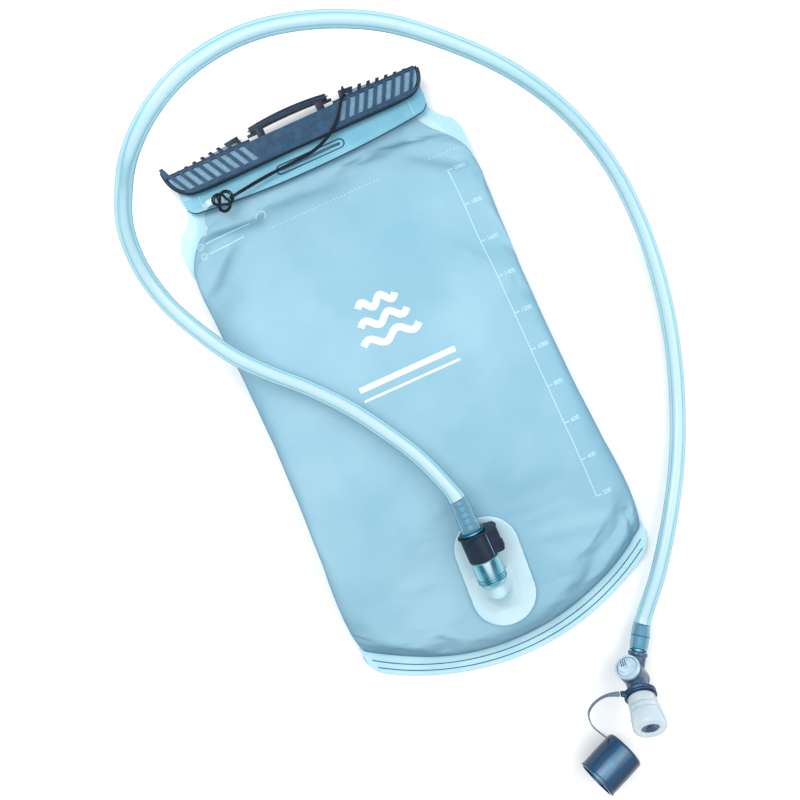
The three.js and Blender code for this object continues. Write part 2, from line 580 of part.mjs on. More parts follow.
// The push button and its latch plate, one moulding: the plate's slot passes round the plug.
function releaseButton() {
  const { x, y, halfZ, plateY } = BUTTON;
  const slot = alongZ(plate(stadium(6.2, 5.15), plateY[1] - plateY[0] + 2, 8))
    .translate(1.05, plateY[1] + 1, 0);
  const head = block([x[0], y[0], -halfZ], [x[1], y[1], halfZ]);
  const link = block([8, plateY[0], -4.5], [x[0] + 1, plateY[1], 4.5]);
  const pocket = alongX(bar(LATCH_SPRING.radius + 0.6, x[0] - 1, LATCH_SPRING.x[1] + 0.2, 12))
    .translate(0, LATCH_SPRING.y, 0);
  const ridges = Array.from({ length: 5 }, (_, i) => {
    const at = y[0] + 2 + i * 2.4;
    return block([x[1] - 0.5, at, -halfZ + 1], [x[1] + 1, at + 1, halfZ - 1]);
  });
  const body = join(cut(latchPlate(0, 0), slot), link, head);
  return cut(body, pocket, ...ridges).translate(0, 0, PORT.axisHeight);
}

const latchSpring = () => coil(LATCH_SPRING, ...LATCH_SPRING.x)
  .translate(0, LATCH_SPRING.y, PORT.axisHeight);

function plugBody() {
  const { tip, radius, bore, sealY, grooveRadius, stopY, stopRadius, barbRoot, barbRadius, barbEnd } = PLUG;
  const groove = radius - 2 * SEAL_WIRE;
  return turned([
    [bore, tip], [radius - 0.6, tip], [radius, tip + 0.6], [radius, sealY - 0.8], [groove, sealY - 0.8],
    [groove, sealY + 0.8], [radius, sealY + 0.8], [radius, BUTTON.plateY[0] - 0.4],
    [grooveRadius, BUTTON.plateY[0] - 0.4], [grooveRadius, BUTTON.plateY[1] + 0.4],
    [radius, BUTTON.plateY[1] + 0.8], [radius, stopY[0]], [stopRadius, stopY[0]], [stopRadius, stopY[1]],
    [barbRoot, stopY[1]], ...barbs(PLUG.barbs, stopY[1], barbEnd, barbRoot, barbRadius),
    [barbRoot - 0.3, barbEnd], [bore, barbEnd], [bore, tip],
  ]).translate(0, 0, PORT.axisHeight);
}

const plugSeal = () => ring(PLUG.radius - SEAL_WIRE + 0.15, SEAL_WIRE - 0.05, PLUG.sealY)
  .translate(0, 0, PORT.axisHeight);

// Shut-off poppet: a disc with crossed ribs that the plug's tip pushes off its seat.
function shutoffPoppet() {
  const { discY, discRadius, ribEnd, ribHalf, ribThick } = POPPET;
  const ribs = [
    block([-ribHalf, discY[1] - 0.5, -ribThick / 2], [ribHalf, ribEnd, ribThick / 2]),
    block([-ribThick / 2, discY[1] - 0.5, -ribHalf], [ribThick / 2, ribEnd, ribHalf]),
  ];
  return join(bar(discRadius, ...discY), ...ribs).translate(0, 0, PORT.axisHeight);
}

const poppetSeal = () => ring(POPPET.discRadius - 0.5, 0.35, POPPET.discY[1] + 0.45)
  .translate(0, 0, PORT.axisHeight);

const poppetSpring = () => coil(POPPET_SPRING, ...POPPET_SPRING.y)
  .rotateZ(Math.PI / 2)
  .translate(0, 0, PORT.axisHeight);

// ---------------------------------------------------------------- frames of the port and the valve

const portToBag = new Matrix4()
  .makeRotationX(PORT.tilt)
  .setPosition(PORT.x, PORT.y, PORT.z);

const mouthAxis = new Vector3(
  -Math.sin(VALVE.mouthHeading) * Math.cos(VALVE.mouthElevation),
  -Math.cos(VALVE.mouthHeading) * Math.cos(VALVE.mouthElevation),
  Math.sin(VALVE.mouthElevation),
);
const knobAxis = new Vector3(
  Math.sin(VALVE.mouthHeading) * Math.sin(VALVE.mouthElevation),
  Math.cos(VALVE.mouthHeading) * Math.sin(VALVE.mouthElevation),
  Math.cos(VALVE.mouthElevation),
).applyAxisAngle(mouthAxis, VALVE.knobRoll);
const tubeEndAxis = new Vector3(
  Math.sin(VALVE.inletHeading) * Math.cos(VALVE.inletRise),
  Math.cos(VALVE.inletHeading) * Math.cos(VALVE.inletRise),
  -Math.sin(VALVE.inletRise),
);

// The valve's own frame has Y along the mouthpiece and Z along the knob's shaft.
const valveToBag = new Matrix4()
  .makeBasis(mouthAxis.clone().cross(knobAxis), mouthAxis, knobAxis)
  .setPosition(VALVE.centre);
const bagToValve = valveToBag.clone().invert();

// The fitting's own frame has Y from the valve's centre back along the tube.
const fittingSide = tubeEndAxis.clone().cross(new Vector3(0, 0, 1)).normalize();
const fittingToBag = new Matrix4()
  .makeBasis(fittingSide, tubeEndAxis, fittingSide.clone().cross(tubeEndAxis))
  .setPosition(VALVE.centre);
const fittingToValve = bagToValve.clone().multiply(fittingToBag);

// ---------------------------------------------------------------- drink tube

function tubePath() {
  const plugPoint = (y) => new Vector3(0, y, PORT.axisHeight).applyMatrix4(portToBag);
  const fittingPoint = (y) => new Vector3(0, y, 0).applyMatrix4(fittingToBag);
  const start = [PLUG.stopY[1] + 0.3, 42, PLUG.barbEnd + 1].map(plugPoint);
  const end = [FITTING.barbEnd + 1, 24, FITTING.flange[1] + 0.3].map(fittingPoint);
  return new THREE.CatmullRomCurve3([...start, ...TUBE_PATH, ...end], false, 'centripetal');
}

// A straight sleeve where the tube is stretched over barbs, and the bore that clears them.
function tubeSleeve(from, to, [outerStart, outerEnd]) {
  const outer = turned([
    [0, from], [outerStart, from], [outerEnd, to - 3], [TUBE.radius, to + 4], [0, to + 4],
  ]);
  const bore = turned([
    [0, from - 1], [TUBE.barbBore, from - 1], [TUBE.barbBore, to], [TUBE.bore, to + 2], [0, to + 2],
  ]);
  return { outer, bore };
}

function drinkTube() {
  const path = tubePath();
  const plugEnd = tubeSleeve(PLUG.stopY[1] + 0.3, PLUG.barbEnd + 0.4, TUBE.plugSleeve);
  const valveEnd = tubeSleeve(FITTING.flange[1] + 0.3, FITTING.barbEnd + 0.4, TUBE.valveSleeve);
  const atPlug = (geometry) => geometry.translate(0, 0, PORT.axisHeight).applyMatrix4(portToBag);
  const atFitting = (geometry) => geometry.applyMatrix4(fittingToBag);
  const outside = join(
    swept(disc(TUBE.radius, TUBE_FACETS), path, TUBE_STEPS),
    atPlug(plugEnd.outer),
    atFitting(valveEnd.outer),
  );
  const inside = swept(disc(TUBE.bore, TUBE_FACETS), path, TUBE_STEPS);
  return cut(outside, inside, atPlug(plugEnd.bore), atFitting(valveEnd.bore));
}

// ---------------------------------------------------------------- bite valve, Y along the mouthpiece

function tubeFitting() {
  const { spigotEnd, spigot, sealAt, flange, flangeRadius, barbRoot, barbRadius, barbEnd, bore } = FITTING;
  const groove = spigot - 0.9;
  return turned([
    [bore, spigotEnd], [spigot, spigotEnd], [spigot, sealAt - 0.7], [groove, sealAt - 0.7],
    [groove, sealAt + 0.7], [spigot, sealAt + 0.7], [spigot, flange[0]], [flangeRadius, flange[0]],
    [flangeRadius, flange[1]], [barbRoot, flange[1]],
    ...barbs(FITTING.barbs, flange[1], barbEnd, barbRoot, barbRadius),
    [barbRoot - 0.3, barbEnd], [bore, barbEnd], [bore, spigotEnd],
  ]);
}

const fittingSeal = () => ring(FITTING.spigot - 0.36, 0.42, FITTING.sealAt);

function valveBody() {
  const hub = alongZ(bar(HUB.radius, HUB.bottom, HUB.top));
  const neck = turned([
    [0, 0], [NECK.radius, 0], [NECK.radius, NECK.flangeY[0]], [NECK.flangeRadius, NECK.flangeY[0]],
    [NECK.flangeRadius, NECK.flangeY[1]], [NECK.seatRadius, NECK.flangeY[1]],
    [NECK.seatRadius, NECK.seatEnd], [NECK.spigotRadius, NECK.seatEnd],
    [NECK.spigotRadius, NECK.spigotEnd], [0, NECK.spigotEnd],
  ]);
  const inlet = turned([
    [0, 0], [INLET.radius, 0], [INLET.radius, INLET.ringStart], [INLET.ringRadius, INLET.ringStart + 0.6],
    [INLET.ringRadius, INLET.end], [0, INLET.end],
  ]).applyMatrix4(fittingToValve);
  const cavity = alongZ(bar(HUB.cavity, HUB.cavityBottom, HUB.top + 5));
  const socket = turned([
    [0, 0], [INLET.bore, 0], [INLET.bore, INLET.socketStart], [INLET.socket, INLET.socketStart],
    [INLET.socket, INLET.end + 1], [0, INLET.end + 1],
  ]).applyMatrix4(fittingToValve);
  return cut(join(hub, neck, inlet), cavity, bar(NECK.bore, 0, NECK.spigotEnd + 1), socket);
}

// The knob and its rotor are one piece: a turn of the knob closes the passage through the rotor.
function shutoffKnob() {
  const { radius, y, rotor, rotorBottom, sealY, boss, rim, recess, ribs } = KNOB;
  const groove = rotor - 0.9;
  const profile = turned([
    [0, rotorBottom], [rotor, rotorBottom], [rotor, sealY - 0.7], [groove, sealY - 0.7],
    [groove, sealY + 0.5], [rotor, sealY + 0.5], [rotor, y[0]], [radius - 0.4, y[0]],
    [radius, y[0] + 0.6], [radius, y[1] - 0.5], [radius - 0.4, y[1]], [radius - rim, y[1]],
    [radius - rim, y[1] - recess], [boss + 0.6, y[1] - recess], [boss, y[1] + 0.4], [0, y[1] + 0.4],
  ], FACETS.large);
  const grips = Array.from({ length: ribs }, (_, i) => {
    const notch = block([radius - 0.5, y[0] + 1, -0.5], [radius + 1, y[1] + 1, 0.5]);
    return notch.rotateY(2 * Math.PI * i / ribs);
  });
  const toOutlet = bar(2.2, 0, rotor + 2, FACETS.small);
  const toInlet = bar(2.2, 0, 12, FACETS.small).applyMatrix4(fittingToValve);
  const keptInlet = keepInside(toInlet, alongZ(bar(rotor + 1, rotorBottom, sealY - 1)));
  return cut(alongZ(cut(profile, ...grips)), toOutlet, keptInlet);
}

const rotorSeal = () => alongZ(ring(KNOB.rotor - 0.34, 0.42, KNOB.sealY - 0.1));

function biteSheath() {
  const { start, end, rootRadius, rimRadius, rootBore, rootEnd, cavity, cavityEnd, mouth } = SHEATH;
  return turned([
    [rootBore, start], [rootRadius, start], [rootRadius + 0.2, 20.4], [rootRadius - 0.1, 21.2],
    [rootRadius + 0.5, 22], [rootRadius + 0.7, 23.6], [rootRadius + 0.4, 24.4], [rootRadius + 0.9, 25.2],
    [rimRadius, end - 4], [rimRadius, end - 1.6], [rimRadius - 1.4, end], [mouth, end],
    [mouth, cavityEnd], [cavity, cavityEnd], [cavity, rootEnd], [rootBore, rootEnd], [rootBore, start],
  ], FACETS.large);
}

function biteInsert() {
  const { flange, flangeRadius, bossRadius, end, slit } = INSERT;
  const body = turned([
    [0, flange[0]], [flangeRadius, flange[0]], [flangeRadius, flange[1]], [bossRadius, flange[1]],
    [bossRadius, end], [bossRadius - 1, end], [0, end - 1.8],
  ]);
  return cut(body, block([-slit[0] / 2, flange[0] - 1, -slit[1] / 2], [slit[0] / 2, end + 1, slit[1] / 2]));
}

// ---------------------------------------------------------------- cap and its tether

const ringCentre = VALVE.centre.clone().addScaledVector(mouthAxis, (RING.y[0] + RING.y[1]) / 2);
const lugAxis = new Vector3(-8.1, 6, 0).projectOnPlane(mouthAxis).normalize();

function tetherRing() {
  const [from, to] = RING.y;
  const middle = (from + to) / 2;
  const band = turned([
    [RING.inner, from], [RING.outer, from], [RING.outer, from + 0.9], [RING.outer - 0.5, from + 1.2],
    [RING.outer - 0.5, to - 1.2], [RING.outer, to - 0.9], [RING.outer, to],
    [RING.inner, to], [RING.inner, from],
  ], FACETS.large);
  const inRing = lugAxis.clone().transformDirection(bagToValve);
  const lug = block([RING.outer - 1, -RING.lugWidth / 2, -RING.lugThick / 2],
    [RING.outer + RING.lug, RING.lugWidth / 2, RING.lugThick / 2])
    .rotateY(Math.atan2(-inRing.z, inRing.x))
    .translate(0, middle, 0);
  return join(band, lug);
}

const capAxis = new Vector3(
  Math.cos(CAP.heading) * Math.cos(CAP.dip),
  Math.sin(CAP.heading) * Math.cos(CAP.dip),
  -Math.sin(CAP.dip),
);
const capSide = new Vector3(-Math.sin(CAP.heading), Math.cos(CAP.heading), 0);
const capToBag = new Matrix4()
  .makeBasis(capSide.clone().negate(), capAxis, capAxis.clone().cross(capSide))
  .setPosition(CAP.centre);

function capStrap() {
  const start = ringCentre.clone().addScaledVector(lugAxis, RING.outer + RING.lug + STRAP.gap);
  const end = CAP.centre.clone()
    .addScaledVector(capAxis, CAP.strapAt)
    .addScaledVector(capSide, CAP.radius + STRAP.gap);
  const beforeEnd = end.clone().addScaledVector(capSide, 4).add(new Vector3(-1, 0, 0.3));
  const points = [start, ...STRAP_PATH.map((p) => new Vector3(...p)), beforeEnd, end];
  const path = new THREE.CatmullRomCurve3(points, false, 'centripetal');
  const { width, thick } = STRAP;
  const section = new THREE.Shape([
    new Vector2(-width / 2, -thick / 2), new Vector2(width / 2, -thick / 2),
    new Vector2(width / 2, thick / 2), new Vector2(-width / 2, thick / 2),
  ]);
  return swept(section, path, 28);
}

function dustCap() {
  const { radius, length, wall } = CAP;
  const half = length / 2;
  return turned([
    [radius - wall, -half], [radius, -half], [radius, -half + 1.6], [radius - 0.3, -half + 1.9],
    [radius - 0.3, half - 1.4], [radius - 1.5, half - 0.2], [radius - 2.2, half], [0, half],
    [0, half - wall], [radius - wall - 0.8, half - wall], [radius - wall, half - wall - 1],
    [radius - wall, -half],
  ], FACETS.large);
}

// ---------------------------------------------------------------- assembly

const bladder = new THREE.Group();

function framed(matrix) {
  const group = new THREE.Group();
  group.applyMatrix4(matrix);
  bladder.add(group);
  return group;
}

function add(name, geometry, material, parent = bladder) {
  const mesh = new THREE.Mesh(closed(geometry), material);
  mesh.name = name;
  parent.add(mesh);
}

const port = framed(portToBag);
const valve = framed(valveToBag);
const fitting = framed(fittingToBag);
const cap = framed(capToBag);

add('bag_film', bagFilm(portToBag), FILM_BLUE);
add('mouth_flap', mouthFlap(), CLEAR_BLUE);
add('seal_bead', sealBead(), CLEAR_BLUE);
add('cord_tab', cordTab(), CLEAR_BLUE);
add('slide_closure', slideClosure(), SLATE);
add('tether_cord', tetherCord(), CORD_BLACK);

add('port_body', portBody(), CLEAR_BLUE, port);
add('port_collar', portCollar(), NAVY, port);
add('release_button', releaseButton(), NAVY, port);
add('latch_spring', latchSpring(), STEEL, port);
add('shutoff_poppet', shutoffPoppet(), TEAL, port);
add('poppet_seal', poppetSeal(), SEAL_BLACK, port);
add('poppet_spring', poppetSpring(), STEEL, port);
add('plug_body', plugBody(), TEAL, port);
add('plug_seal', plugSeal(), SEAL_BLACK, port);

add('drink_tube', drinkTube(), TUBE_CYAN);
add('tube_fitting', tubeFitting(), TEAL, fitting);
add('fitting_seal', fittingSeal(), SEAL_BLACK, fitting);

add('valve_body', valveBody(), SLATE, valve);
add('shutoff_knob', shutoffKnob(), KNOB_GREY, valve);
add('rotor_seal', rotorSeal(), SEAL_BLACK, valve);
add('bite_sheath', biteSheath(), SILICONE, valve);
add('bite_insert', biteInsert(), NAVY, valve);
add('tether_ring', tetherRing(), NAVY, valve);
add('cap_strap', capStrap(), NAVY);
add('dust_cap', dustCap(), SLATE, cap);

export default bladder;
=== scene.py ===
# The looks of a hydration bladder: film bag, slide closure, port, drink tube, bite valve and cap.
# Lengths in this script are millimetres in a piece's own frame; build() turns them into metres in
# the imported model's frame. X runs across the bag, Y up to the slide closure, Z out of the front.

import json
from math import copysign, cos, exp, hypot, pi, radians, sin, sqrt, tan

import bmesh
import bpy
import numpy as np
from mathutils import Matrix, Vector, noise
from mathutils.bvhtree import BVHTree


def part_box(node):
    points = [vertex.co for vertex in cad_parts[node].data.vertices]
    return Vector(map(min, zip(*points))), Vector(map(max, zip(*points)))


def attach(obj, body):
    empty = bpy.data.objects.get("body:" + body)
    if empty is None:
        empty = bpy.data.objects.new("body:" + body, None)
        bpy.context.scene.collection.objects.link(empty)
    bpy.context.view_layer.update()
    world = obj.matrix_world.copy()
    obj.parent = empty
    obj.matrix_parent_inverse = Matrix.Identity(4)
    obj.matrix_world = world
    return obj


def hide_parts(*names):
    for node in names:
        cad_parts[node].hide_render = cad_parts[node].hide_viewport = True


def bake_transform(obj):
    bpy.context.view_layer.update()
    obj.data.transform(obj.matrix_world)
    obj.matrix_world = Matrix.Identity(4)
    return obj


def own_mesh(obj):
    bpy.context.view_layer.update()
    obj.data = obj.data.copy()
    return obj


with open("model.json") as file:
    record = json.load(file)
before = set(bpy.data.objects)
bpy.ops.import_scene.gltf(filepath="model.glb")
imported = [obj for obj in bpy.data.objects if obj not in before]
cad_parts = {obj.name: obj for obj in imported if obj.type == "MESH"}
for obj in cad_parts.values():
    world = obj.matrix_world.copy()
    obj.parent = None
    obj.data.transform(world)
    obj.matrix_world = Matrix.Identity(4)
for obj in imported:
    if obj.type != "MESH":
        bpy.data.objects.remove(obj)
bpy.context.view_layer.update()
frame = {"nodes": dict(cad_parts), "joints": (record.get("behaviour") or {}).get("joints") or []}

MM = 0.001
SCENE = bpy.context.scene
JOINTS = {joint["name"]: joint for joint in frame["joints"]}

# ---------------------------------------------------------------- driving dimensions

# Bag sections up the centreline: y, half width, back, side fold and front heights.
BAG_ROWS = [
    (-173.8, 94, 2.3, 3, 3.8), (-171, 95.3, 1.3, 5.5, 11.5), (-166.5, 96.2, 0.6, 8, 18),
    (-160, 96.6, 0.3, 10.5, 22), (-140, 96.7, 0.3, 12.5, 24.5), (-120, 96.2, 0.3, 13.5, 27),
    (-100, 95.4, 0.3, 14, 29.5), (-80, 94.3, 0.3, 14.5, 32), (-40, 92, 0.3, 15, 33),
    (0, 91.2, 0.3, 15, 32.5), (40, 91.6, 0.3, 15, 31), (80, 93.5, 0.3, 13, 27.5),
    (104, 95.2, 0.3, 11, 22.5), (119, 93.5, 1, 9.5, 18), (130, 86, 2.5, 8.6, 14.5),
    (139, 76.5, 4.5, 8, 11), (147, 73.5, 6.4, 7.8, 9.2), (164, 73.5, 6.6, 7.8, 9),
]
BAG_GRID = {"step": 2.4, "round": 132}
FRONT_ROUNDNESS = 2.4
BACK_ROUNDNESS = 3
BACK_SAG = 1
ARC_RADIUS = 158.3
ARC_CENTRE_Y = -15.5

# Soft dents in the film: start, end, half width and depth (a negative depth is a ridge).
DENTS = [
    ((41, 143), (58, 142), 5.5, 3), ((-76, 137), (-46, 131), 6, 2.8), ((-40, 134), (10, 131), 8, 1.4),
    ((60, 128), (84, 112), 7, 1.6), ((90, -122), (44, -160), 7.5, 3.4), ((89, -126), (88, -146), 2.6, 2),
    ((-88, -150), (-48, -162), 9, 2), ((-84, 96), (-30, 60), 20, 2), ((40, 88), (84, 56), 12, 1.6),
    ((-70, -30), (-88, -80), 14, 1.5), ((84, 20), (70, -60), 10, 1.6), ((-40, -100), (-60, -140), 12, 1.2),
    ((20, 80), (30, 20), 16, 0.8), ((-66, 122), (-88, 104), 6, 1.8),
]
BAG_FLOOR = 0.25
PORT_SPINE = ((0, -108), (0, -140))
BILLOW = {
    "frames": 14, "cap": 2.4,
    "cloth": {
        "quality": 4, "mass": 0.3, "tension_stiffness": 14, "compression_stiffness": 10,
        "shear_stiffness": 6, "bending_stiffness": 1.5, "air_damping": 2, "vertex_group_mass": "held",
        "use_pressure": True, "uniform_pressure_force": 0.6, "shrink_min": -0.012,
    },
}
RIPPLE = {"height": 0.55, "length": 46, "side_height": 0.35, "side_length": 17}

WELD = {"outer": 169, "inner": 156.6, "side": 96.7, "round": 8, "z": (2.5, 3.6), "lines": (162.1, 165.9)}
WELD_LINE = {"half": 0.34, "depth": 0.5, "end_gap": 4.5}

FLAP = {
    "half": 81.6, "corner": 8, "side_drop": 11.3, "end_drop": 1.7, "middle_drop": 15.6,
    "hinge": (159, 10.4), "lean": radians(12), "thick": 1.3,
}
BEAD = {"y": 168.9, "z": 9, "radius": 2.2, "half": 81}
FLAP_SLOT = {"x": 2, "drop": 7.4, "half": 20, "height": 2, "rim_half": 22.5, "rim_height": 6}
FLAP_SEAM_X = 71
TAB = {"x": -64, "drop": 9.2, "length": 13, "width": 4.2}

SLIDE = {"crest": 175.3, "face": 16, "rear": 5.5, "grip_depth": 1.2}
HANDLE = {"half": 30, "tip": 183, "crown": 185.4, "foot": 177.2}
GRIP = {"first": 33.4, "pitch": 6.1, "width": 3.7, "lean": radians(28), "base": 160}

CORD = {"radius": 0.54, "spread": 0.52}
KNOT = {"centre": (-57.5, 147.2, 19), "size": 2.1, "height": 1.5}
EYE = (37, 178.9)

PLUG_SEAL_AT = 8.5
BARB_PITCH = 3.96
AXIS_HEIGHT = 10
FLANGE = {"x": 3.3, "turn": radians(-3.5), "half_width": 19.7, "half_length": 34.8, "thick": 1.2}
HUMP = {"top": 6.4, "width": 9, "reach": 12.5}

TUBE = {"radius": 4.75, "bore": 3.3, "step": 2.5, "sides": 36}
TUBE_PATH = [
    (-7, -58, 47), (-14, -40, 47.5), (-24.5, -21, 47), (-38, 0, 46), (-54.4, 20, 45.5), (-71.6, 37.6, 46),
    (-86, 54.5, 48.5), (-98, 75.5, 53), (-106.4, 96, 60), (-109.5, 117, 70), (-105.5, 137, 84),
    (-95, 152, 98), (-82, 162.5, 112), (-62, 174, 122), (-38, 183, 126), (-7, 189, 121),
    (26, 187, 111), (62, 175.5, 99), (95, 154.5, 85), (123, 131, 69), (147.5, 101.5, 48),
    (163.6, 67.5, 28), (170, 30, 13.5), (168.5, -5, 7), (161, -42, 5.2), (148.3, -78.5, 5.5),
    (133.2, -110, 7.5), (113.6, -141, 10), (92, -170.5, 10.5),
]

CAP = {"radius": 12.5, "length": 26.6, "wall": 1.5, "heading": radians(17.5), "dip": radians(12),
       "strap_at": 8.8, "strap_gap": 0.2}

# Volume scale printed on the right of the bag, from the 2000 mark down.
SCALE = {"x": 74.5, "top": 108, "pitch": 24.1, "count": 10, "full": 2000, "step": 200}
PRINT_LIFT = 0.14
PRINT_DEPTH = 0.2
FILL_LINE = {"y": 120, "spans": ((-39, 33), (68, 88)), "pitch": 2.4}

UP = Vector((0, 0, 1))
ON_BAG = ("reservoir", "clear_weld")  # body and finish of what is welded to the film
# Lights: name, place and size in metres, power.
LIGHTS = [("key", (-0.34, 0.5, 1.05), 0.7, 8.5), ("fill", (0.6, -0.1, 0.9), 0.9, 5.5)]
CAMERA = {"x": -9.4, "y": -7.5, "z": 560, "turn": radians(-24.3), "lens": 40, "sensor": 36}

# ---------------------------------------------------------------- shapes as (points, faces)


def turns(count):
    """Angles evenly round a circle."""
    return [2 * pi * k / count for k in range(count)]


def lathe(profile, segments=72):
    """A solid of revolution about Y from (radius, y) pairs that end on the axis or close on themselves."""
    points, rings = [], []
    for radius, y in profile:
        if radius < 1e-6:
            rings.append([len(points)])
            points.append((0, y, 0))
            continue
        rings.append(list(range(len(points), len(points) + segments)))
        points += [(radius * cos(a), y, radius * sin(a)) for a in turns(segments)]
    pairs = list(zip(rings, rings[1:]))
    if len(rings[0]) > 1 and len(rings[-1]) > 1:
        pairs.append((rings[-1], rings[0]))
    return points, [face for a, b in pairs for face in bridge(a, b)]


def bridge(a, b):
    """Faces between two closed loops, either of which may be a single point."""
    count = max(len(a), len(b))
    faces = []
    for k in range(count):
        n = (k + 1) % count
        if len(a) == 1:
            faces.append((a[0], b[n], b[k]))
        elif len(b) == 1:
            faces.append((a[k], a[n], b[0]))
        else:
            faces.append((a[k], a[n], b[n], b[k]))
    return faces


def loft(loops, capped=True, closed=False):
    """A skin over point loops of equal count."""
    size = len(loops[0])
    points = [p for loop in loops for p in loop]
    index = [list(range(i * size, (i + 1) * size)) for i in range(len(loops))]
    pairs = list(zip(index, index[1:])) + ([(index[-1], index[0])] if closed else [])
    faces = [face for a, b in pairs for face in bridge(a, b)]
    if capped and not closed:
        faces += [tuple(reversed(index[0])), tuple(index[-1])]
    return points, faces


def curl(a, c, b, t):
    """A point of the parabola from a to b that leans toward c."""
    return a * (1 - t) ** 2 + c * 2 * t * (1 - t) + b * t ** 2


def rounded(profile, radius, steps=4):
    """The same (radius, y) profile with its corners rounded; the end points stay."""
    out = [profile[0]]
    for before, corner, after in zip(profile, profile[1:], profile[2:]):
        a, c, b = Vector(before), Vector(corner), Vector(after)
        reach = min(radius, (a - c).length * 0.45, (b - c).length * 0.45)
        if reach < 1e-3:
            out.append(corner)
            continue
        start, end = c + (a - c).normalized() * reach, c + (b - c).normalized() * reach
        out += [tuple(curl(start, c, end, i / steps)) for i in range(steps + 1)]
    return out + [profile[-1]]


def turned(profile, fillet=0.0, segments=72, steps=4):
    """A lathed shape with rounded corners."""
    return lathe(rounded(profile, fillet, steps), segments)


def cylinder(radius, low, high, fillet=0.0):
    return turned([(0, low), (radius, low), (radius, high), (0, high)], fillet)


def ring_profile(major, minor, y, sides=12):
    """A round section to turn into a ring."""
    return [(major + minor * cos(a), y + minor * sin(a)) for a in turns(sides) + [0.0]]


def prism(outline, low, high):
    """A flat outline in X and Y, solid between two heights."""
    return loft([[(x, y, z) for x, y in outline] for z in (low, high)])


def box(low, high):
    (x0, x1), (y0, y1), (z0, z1) = zip(low, high)
    return prism([(x0, y0), (x1, y0), (x1, y1), (x0, y1)], z0, z1)


def stadium(half_length, half_height, steps=14):
    """A slot outline along X."""
    straight = half_length - half_height
    ends = [(side, pi * (k / steps - side / 2)) for side in (1, -1) for k in range(steps + 1)]
    return [(side * straight + half_height * cos(a), half_height * sin(a)) for side, a in ends]


def moved(shape, matrix):
    return [tuple(matrix @ Vector(p)) for p in shape[0]], shape[1]


def shifted(shape, x=0, y=0, z=0):
    return moved(shape, Matrix.Translation((x, y, z)))


def about_z(shape):
    """Turns a shape made about Y so that it stands about Z."""
    return moved(shape, Matrix.Rotation(pi / 2, 4, "X"))


def about_x(shape):
    return moved(shape, Matrix.Rotation(-pi / 2, 4, "Z"))


def curve_points(controls, step):
    """Points about a step apart on a centripetal Catmull-Rom curve through the controls."""
    controls = [Vector(c) for c in controls]
    p = [2 * controls[0] - controls[1]] + controls + [2 * controls[-1] - controls[-2]]
    out = []
    for i in range(1, len(p) - 2):
        knots = [0.0]
        for a, b in zip(p[i - 1:i + 2], p[i:i + 3]):
            knots.append(knots[-1] + max((b - a).length, 1e-6) ** 0.5)
        count = max(1, round((p[i + 1] - p[i]).length / step))
        for k in range(count):
            t = knots[1] + (knots[2] - knots[1]) * k / count
            out.append(catmull_rom(p[i - 1:i + 3], knots, t))
    return out + [controls[-1]]


def catmull_rom(p, knots, t):
    """One point of the curve between p[1] and p[2]."""
    def mix(a, b, start, end):
        return a * ((end - t) / (end - start)) + b * ((t - start) / (end - start))
    k0, k1, k2, k3 = knots
    a1, a2, a3 = mix(p[0], p[1], k0, k1), mix(p[1], p[2], k1, k2), mix(p[2], p[3], k2, k3)
    return mix(mix(a1, a2, k0, k2), mix(a2, a3, k1, k3), k1, k2)


def sweep_frames(path, up=None):
    """(point, side, normal) along a path; up keeps the normal close to a direction."""
    path = [Vector(p) for p in path]
    frames = []
    normal = None
    for i, point in enumerate(path):
        tangent = (path[min(i + 1, len(path) - 1)] - path[max(i - 1, 0)]).normalized()
        aim = Vector(up or normal or tangent.orthogonal())
        normal = (aim - tangent * aim.dot(tangent)).normalized()
        frames.append((point, tangent.cross(normal), normal))
    return frames


def rod(path, radius, sides=12, closed=False, up=None):
    """A round bar along a path. radius is a number or a function of the index."""
    size = radius if callable(radius) else lambda i: radius
    loops = []
    for i, (point, side, normal) in enumerate(sweep_frames(path, up)):
        loops.append([tuple(point + (side * cos(a) + normal * sin(a)) * size(i)) for a in turns(sides)])
    return loft(loops, closed=closed)


def bulged(value, power):
    """A sine or cosine raised to a power with its sign kept, for outlines between a circle and a box."""
    return copysign(abs(value) ** power, value)


def ribbon(path, width, thick, up):
    """A bar with a rounded flat section; width (along up) and thick are functions of 0 to 1."""
    outline = [(bulged(cos(a), 0.5) / 2, bulged(sin(a), 0.5) / 2) for a in turns(20)]
    loops = []
    for i, (point, side, normal) in enumerate(sweep_frames(path, up)):
        t = i / (len(path) - 1)
        loops.append([tuple(point + side * u * thick(t) + normal * v * width(t)) for u, v in outline])
    return loft(loops)


def coil(radius, wire, coils, start, end):
    """A coil of round wire about Y."""
    count = int(coils * 28)
    path = []
    for k in range(count + 1):
        a = 2 * pi * coils * k / count
        path.append((radius * cos(a), start + (end - start) * k / count, radius * sin(a)))
    return rod(path, wire, 10)


# ---------------------------------------------------------------- frames of the assemblies


def local_frame(origin, y_axis, z_axis):
    """Millimetres in a piece's own frame to metres in the row frame."""
    y = Vector(y_axis).normalized()
    z = Vector(z_axis)
    z = (z - y * z.dot(y)).normalized()
    turn = Matrix((y.cross(z), y, z)).transposed().to_4x4()
    return Matrix.Translation(origin) @ turn @ Matrix.Scale(MM, 4)


def node_centre(node):
    low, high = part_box(node)
    return (low + high) / 2


